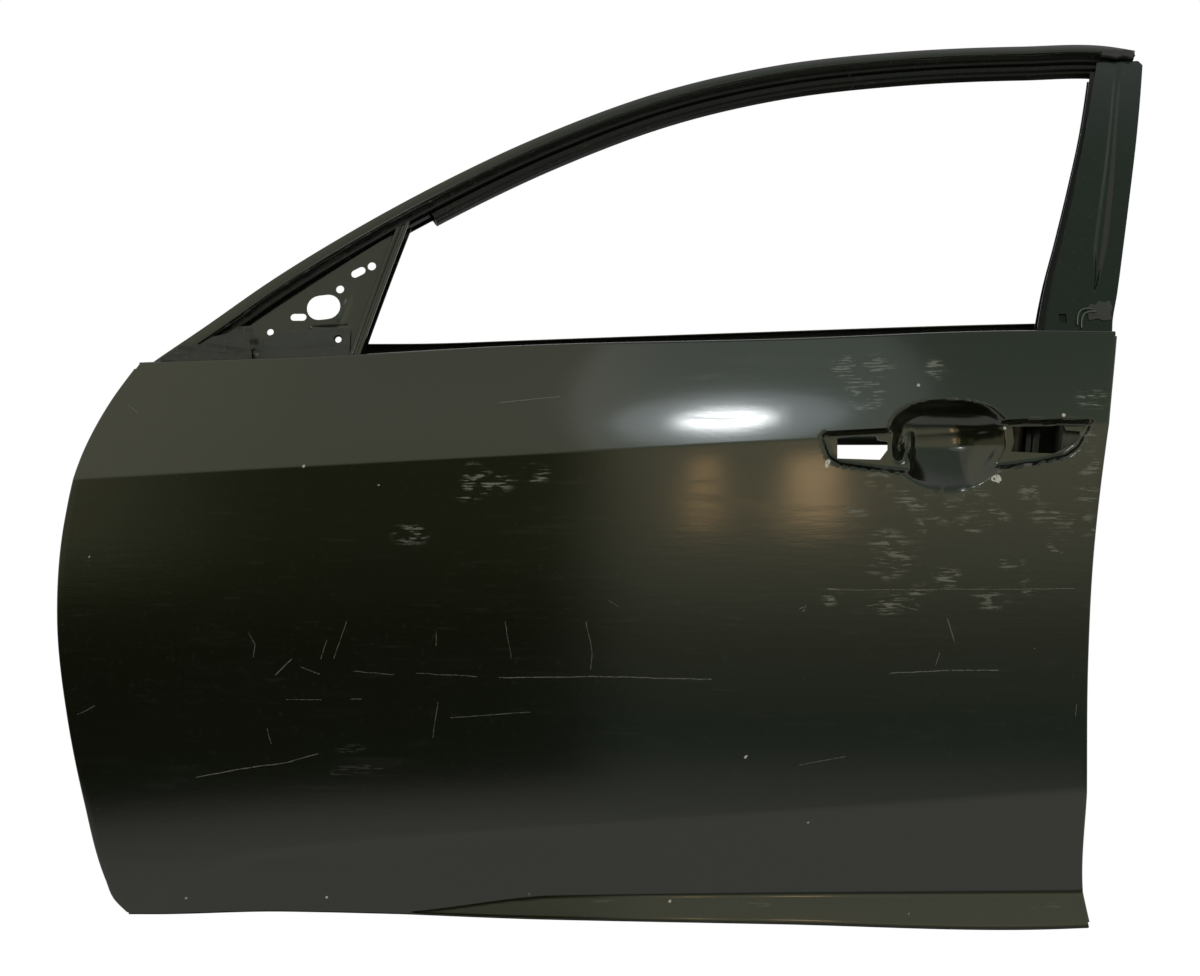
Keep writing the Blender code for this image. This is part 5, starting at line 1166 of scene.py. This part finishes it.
def studio_world():
    """White to the camera, even light for matt surfaces, and for gloss a pale room with a dark drape behind
    the camera: brightness by height of the reflected direction, on its left and on its right."""
    world = bpy.data.worlds.new("studio")
    bpy.context.scene.world = world
    world.use_nodes = True
    tree = world.node_tree
    n = Nodes(tree)
    back = tree.nodes["Background"]
    ray = n.add("ShaderNodeLightPath").outputs
    direction = n.add("ShaderNodeTexCoord").outputs["Generated"]
    split = n.add("ShaderNodeSeparateXYZ")
    n.feed(split.inputs[0], direction)
    x, y, z = split.outputs

    def by_height(*stops):
        node = n.add("ShaderNodeValToRGB")
        n.feed(node.inputs[0], n.math("MULTIPLY_ADD", z, 0.5, 0.5))
        elements = node.color_ramp.elements
        elements[0].color, elements[1].color = (*stops[0][1], 1), (*stops[-1][1], 1)
        for at, colour in stops[1:-1]:
            elements.new(at * 0.5 + 0.5).color = (*colour, 1)
        return node.outputs[0]

    left = by_height((-1.0, (0.75, 0.75, 0.68)), (-0.45, (0.85, 0.86, 0.76)), (-0.40, (0.58, 0.59, 0.51)),
                     (-0.37, (0.02, 0.025, 0.012)), (-0.20, (0.03, 0.035, 0.012)),
                     (-0.08, (0.13, 0.15, 0.06)), (0.10, (0.16, 0.17, 0.08)), (0.30, (1.00, 1.03, 0.74)),
                     (0.50, (1.10, 1.13, 0.84)),
                     (1.0, (0.9, 0.95, 0.8)))
    right = by_height((-1.0, (0.8, 0.8, 0.72)), (-0.46, (0.85, 0.86, 0.76)), (-0.40, (0.55, 0.58, 0.50)),
                      (-0.33, (0.14, 0.22, 0.17)), (-0.20, (0.42, 0.44, 0.30)), (-0.10, (0.92, 0.92, 0.64)),
                      (0.02, (1.25, 1.22, 0.82)), (0.20, (1.15, 1.15, 0.82)), (0.38, (0.75, 0.93, 0.66)),
                      (0.56, (0.55, 0.72, 0.54)), (1.0, (0.5, 0.6, 0.5)))
    ahead = n.math("MULTIPLY", y, -1.0)
    side = n.math("DIVIDE", x, n.math("MAXIMUM", ahead, 0.05))
    gloss = n.mix(n.ramp(side, -0.05, 0.05), left, right)
    window = n.math("MULTIPLY", n.ramp(side, -0.27, -0.52, 0.0, 0.8), n.ramp(z, -0.15, -0.05))
    gloss = n.mix(window, gloss, n.mix(n.ramp(z, 0.0, 0.2), (0.75, 0.74, 0.46), (1.34, 1.34, 0.97)))
    gloss = n.mix(n.ramp(ahead, -0.10, 0.25), (1, 1, 1), gloss)
    gloss = n.mix(n.ramp(z, -0.76, -0.90), gloss, (0.07, 0.06, 0.035))
    even = n.mix(ray["Is Glossy Ray"], (0.75, 0.75, 0.75), gloss)
    n.feed(back.inputs["Color"], n.mix(ray["Is Camera Ray"], even, (1, 1, 1)))


def floor(depth):
    """A white floor below the door that glossy surfaces don't reflect."""
    size = 6.0
    corners = [(0.5 + size * x, size * y, -depth) for x, y in ((-1, -1), (1, -1), (1, 1), (-1, 1))]
    obj = mesh_object("studio_floor", corners, np.array([[0, 1, 2, 3]]))
    made = bpy.data.materials.new("floor_white")
    made.use_nodes = True
    tree = made.node_tree
    n = Nodes(tree)
    ray = n.add("ShaderNodeLightPath").outputs
    glow = n.add("ShaderNodeEmission")
    glow.inputs["Strength"].default_value = 1.08
    mixer = n.add("ShaderNodeMixShader")
    shader = tree.nodes["Principled BSDF"]
    shader.inputs["Base Color"].default_value = (0.8, 0.8, 0.8, 1)
    shader.inputs["Roughness"].default_value = 0.9
    n.feed(mixer.inputs[0], n.math("MULTIPLY", ray["Is Camera Ray"], 0.85))
    tree.links.new(shader.outputs[0], mixer.inputs[1])
    tree.links.new(glow.outputs[0], mixer.inputs[2])
    unseen = n.add("ShaderNodeMixShader")
    n.feed(unseen.inputs[0], ray["Is Glossy Ray"])
    tree.links.new(mixer.outputs[0], unseen.inputs[1])
    tree.links.new(n.add("ShaderNodeBsdfTransparent").outputs[0], unseen.inputs[2])
    tree.links.new(unseen.outputs[0], tree.nodes["Material Output"].inputs["Surface"])
    obj.data.materials.append(made)


def camera():
    """The photo's view: level, square to the door and 1.8 m away."""
    data = bpy.data.cameras.new("photo_view")
    data.lens, data.sensor_width = LENS, SENSOR_WIDTH
    obj = bpy.data.objects.new("photo_view", data)
    bpy.context.scene.collection.objects.link(obj)
    obj.location = np.array(CAMERA_PLACE) - DATUM
    obj.rotation_euler = (math.pi / 2, 0, 0)
    bpy.context.scene.camera = obj


# Add-on.


def colour_property(label, text, default):
    """A colour setting of the panel."""
    return bpy.props.FloatVectorProperty(name=label, description=text, default=default, size=3,
                                         subtype="COLOR", min=0.0, max=1.0)


def length_property(label, text, default, least=0.0, most=1.0):
    """A length setting of the panel."""
    return bpy.props.FloatProperty(name=label, description=text, default=default, min=least, max=most,
                                   unit="LENGTH")


class DoorPaint(bpy.types.PropertyGroup):
    """Colours and gloss of the paint."""

    body: colour_property("Body", "Colour of the outer skin", (0.0044, 0.0048, 0.0023))
    body_tint: colour_property("Body tint", "Colour the outer skin clouds towards", (0.0040, 0.0056, 0.0036))
    pillar: colour_property("Pillar", "Colour of the pillar plate", (0.0060, 0.0105, 0.0070))
    gloss: bpy.props.FloatProperty(name="Gloss", description="Roughness of the clean paint", default=0.075,
                                   min=0.02, max=1.0)


class DoorSizes(bpy.types.PropertyGroup):
    """Sizes of the pressed shapes."""

    bowl_depth: length_property("Bowl", "Depth of the handle recess", BOWL_DEPTH, 0.01, 0.05)
    groove_depth: length_property("Groove", "Depth of the pillar plate's groove", GROOVE_DEPTH, most=0.006)
    bead_height: length_property("Beads", "Height of the inner panel's beads", BEAD_HEIGHT, most=0.008)


class DoorStudio(bpy.types.PropertyGroup):
    """Light and floor."""

    highlight: bpy.props.FloatProperty(name="Highlight lamp", description="Power of the lamp on the shoulder",
                                       default=3.3, min=0.0, unit="POWER")
    floor_depth: length_property("Floor", "Depth of the floor under the skin", 0.30, most=5.0)


# Colour, tint, gloss, haze, peel, metallic and shine of each finish whose colour is not a setting.
FINISHES = {
    "inner_paint": ((0.010, 0.012, 0.008), (0.012, 0.014, 0.010), 0.25, 0.3, 0.06, 0.0, 0.5),
    "frame_paint": ((0.0075, 0.0084, 0.0050), (0.0062, 0.0080, 0.0060), 0.20, 0.3, 0.06, 0.0, 0.42),
    # Dark channel colour: the glass run's own colour, and also painted shade in the frame's recesses and
    # behind the clip hole.
    "channel_paint_and_shade": ((0.0030, 0.0032, 0.0026), (0.0060, 0.0060, 0.0052), 0.22, 0.4, 0.10, 0.0, 0.16),
    "primer": ((0.0090, 0.0100, 0.0115), (0.0130, 0.0135, 0.0140), 0.38, 0.5, 0.15, 0.0, 0.4),
    "residue": ((0.0085, 0.0088, 0.0090), (0.0300, 0.0290, 0.0270), 0.45, 0.9, 0.6, 0.0, 0.4),
    "plain_steel": ((0.30, 0.29, 0.27), (0.22, 0.20, 0.18), 0.35, 0.5, 0.2, 1.0, 0.5),
    "clip_steel": ((0.13, 0.14, 0.13), (0.06, 0.065, 0.06), 0.22, 0.4, 0.1, 1.0, 0.5),
    "mastic": ((0.03, 0.03, 0.03), (0.02, 0.02, 0.02), 0.75, 0.5, 0.6, 0.0, 0.5),
    "cloth_tape": ((0.016, 0.018, 0.016), (0.040, 0.040, 0.037), 0.7, 0.9, 0.6, 0.0, 0.5),
    "black_trim": ((0.006, 0.006, 0.006), (0.010, 0.010, 0.010), 0.6, 0.8, 0.8, 0.0, 0.5),
}


class DOOR_OT_finishes(bpy.types.Operator):
    """Make the paint film and every finish"""

    bl_idname = "door.finishes"
    bl_label = "Make finishes"

    def execute(self, context):
        paint = context.scene.door_paint
        film_group()
        mark_group()
        body_finish("body_paint", tuple(paint.body), tuple(paint.body_tint), paint.gloss, 0.14, 0.05)
        painted("pillar_paint", tuple(paint.pillar), (0.0060, 0.0090, 0.0068), 0.20, 0.25, 0.06, shine=0.24)
        for name, values in FINISHES.items():
            painted(name, *values)
        return {"FINISHED"}


class DOOR_OT_skin(bpy.types.Operator):
    """Press the outer skin with its hems, crease, scallop and handle recess"""

    bl_idname = "door.skin"
    bl_label = "Make outer skin"

    def execute(self, context):
        outer_skin(finish_named("body_paint"), context.scene.door_sizes.bowl_depth)
        return {"FINISHED"}


class DOOR_OT_window_frame(bpy.types.Operator):
    """Roll the upper sash, the rear glass run and the division channel"""

    bl_idname = "door.window_frame"
    bl_label = "Make window frame"

    def execute(self, context):
        window_frame(finish_named("frame_paint"), finish_named("channel_paint_and_shade"))
        return {"FINISHED"}


class DOOR_OT_pillar(bpy.types.Operator):
    """Press the pillar plate with its groove"""

    bl_idname = "door.pillar"
    bl_label = "Make pillar plate"

    def execute(self, context):
        pillar_cover(finish_named("pillar_paint"), context.scene.door_sizes.groove_depth)
        pillar_details(finish_named("channel_paint_and_shade"), finish_named("clip_steel"))
        return {"FINISHED"}


class DOOR_OT_triangle(bpy.types.Operator):
    """Make the mirror bracket and the strip at its foot"""

    bl_idname = "door.triangle"
    bl_label = "Make mirror triangle"

    def execute(self, context):
        mirror_plate(finish_named("frame_paint"))
        base_plate(finish_named("primer"))
        residue(finish_named("residue"))
        sealant(finish_named("black_trim"))
        return {"FINISHED"}


class DOOR_OT_inner_panel(bpy.types.Operator):
    """Press the inner panel with its walls, pads, beads and openings"""

    bl_idname = "door.inner_panel"
    bl_label = "Make inner panel"

    def execute(self, context):
        inner_panel(finish_named("inner_paint"), context.scene.door_sizes.bead_height)
        return {"FINISHED"}


class DOOR_OT_carried(bpy.types.Operator):
    """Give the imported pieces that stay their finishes"""

    bl_idname = "door.carried"
    bl_label = "Finish carried pieces"

    def execute(self, context):
        slots = {row["node"]: row["material_slot"] for row in frame["record"]["subparts"]}
        for name, obj in frame["nodes"].items():
            obj.data.materials.clear()
            obj.data.materials.append(finish_named(slots[name]))
        return {"FINISHED"}


# The highlight's lamps: place, size, share of its power and colour. The warm ones: place, aim, size, power
# and colour.
SHOULDER_SPOT = (0.704, 0.0, 0.575)
HIGHLIGHTS = (
    ("highlight_lamp", (0.875, -2.17, 1.775), (0.26, 0.10), 1.0, (0.95, 0.99, 1.0)),
    ("highlight_halo", (0.885, -2.20, 1.80), (0.66, 0.32), 0.40, (0.80, 0.91, 1.0)),
    ("highlight_glow", (0.930, -2.24, 1.95), (1.05, 1.3), 0.75, (0.85, 0.92, 0.90)),
)
WARM_STRIPS = (
    ("warm_strip_near", (0.915, -3.0, 0.38), (0.71, 0.0, 0.48), (0.065, 0.34), 0.36, (1.0, 0.60, 0.24)),
    ("warm_strip_far", (1.255, -3.0, 0.38), (0.84, 0.0, 0.48), (0.150, 0.34), 0.84, (1.0, 0.64, 0.30)),
)


class DOOR_OT_studio(bpy.types.Operator):
    """Set the floor, the lamps, the world and the camera"""

    bl_idname = "door.studio"
    bl_label = "Make studio"

    def execute(self, context):
        studio = context.scene.door_studio
        floor(studio.floor_depth)
        for name, place, size, share, colour in HIGHLIGHTS:
            area_lamp(name, place, SHOULDER_SPOT, size, studio.highlight * share, colour, "ELLIPSE")
        for name, place, aim, size, power, colour in WARM_STRIPS:
            area_lamp(name, place, aim, size, power, colour, "RECTANGLE")
        studio_world()
        camera()
        context.scene.view_settings.view_transform = "Standard"
        return {"FINISHED"}


STEPS = (DOOR_OT_finishes, DOOR_OT_carried, DOOR_OT_skin, DOOR_OT_window_frame, DOOR_OT_pillar,
         DOOR_OT_triangle, DOOR_OT_inner_panel, DOOR_OT_studio)


class DOOR_PT_panel(bpy.types.Panel):
    """Lists the settings and the pieces"""

    bl_idname = "DOOR_PT_panel"
    bl_label = "Door shell"
    bl_space_type = "VIEW_3D"
    bl_region_type = "UI"
    bl_category = "Door"

    def draw(self, context):
        layout = self.layout
        for group in (context.scene.door_sizes, context.scene.door_paint, context.scene.door_studio):
            for label in group.bl_rna.properties.keys():
                if label not in ("rna_type", "name"):
                    layout.prop(group, label)
        for step in STEPS:
            layout.operator(step.bl_idname)


CLASSES = (DoorSizes, DoorPaint, DoorStudio) + STEPS + (DOOR_PT_panel,)


def register():
    for made in CLASSES:
        bpy.utils.register_class(made)
    bpy.types.Scene.door_sizes = bpy.props.PointerProperty(type=DoorSizes)
    bpy.types.Scene.door_paint = bpy.props.PointerProperty(type=DoorPaint)
    bpy.types.Scene.door_studio = bpy.props.PointerProperty(type=DoorStudio)


def unregister():
    del bpy.types.Scene.door_sizes
    del bpy.types.Scene.door_paint
    del bpy.types.Scene.door_studio
    for made in reversed(CLASSES):
        bpy.utils.unregister_class(made)


def main():
    register()
    bpy.ops.door.finishes()
    bpy.ops.door.carried()
    bpy.ops.door.skin()
    bpy.ops.door.window_frame()
    bpy.ops.door.pillar()
    bpy.ops.door.triangle()
    bpy.ops.door.inner_panel()
    bpy.ops.door.studio()


if __name__ == "__main__":
    main()
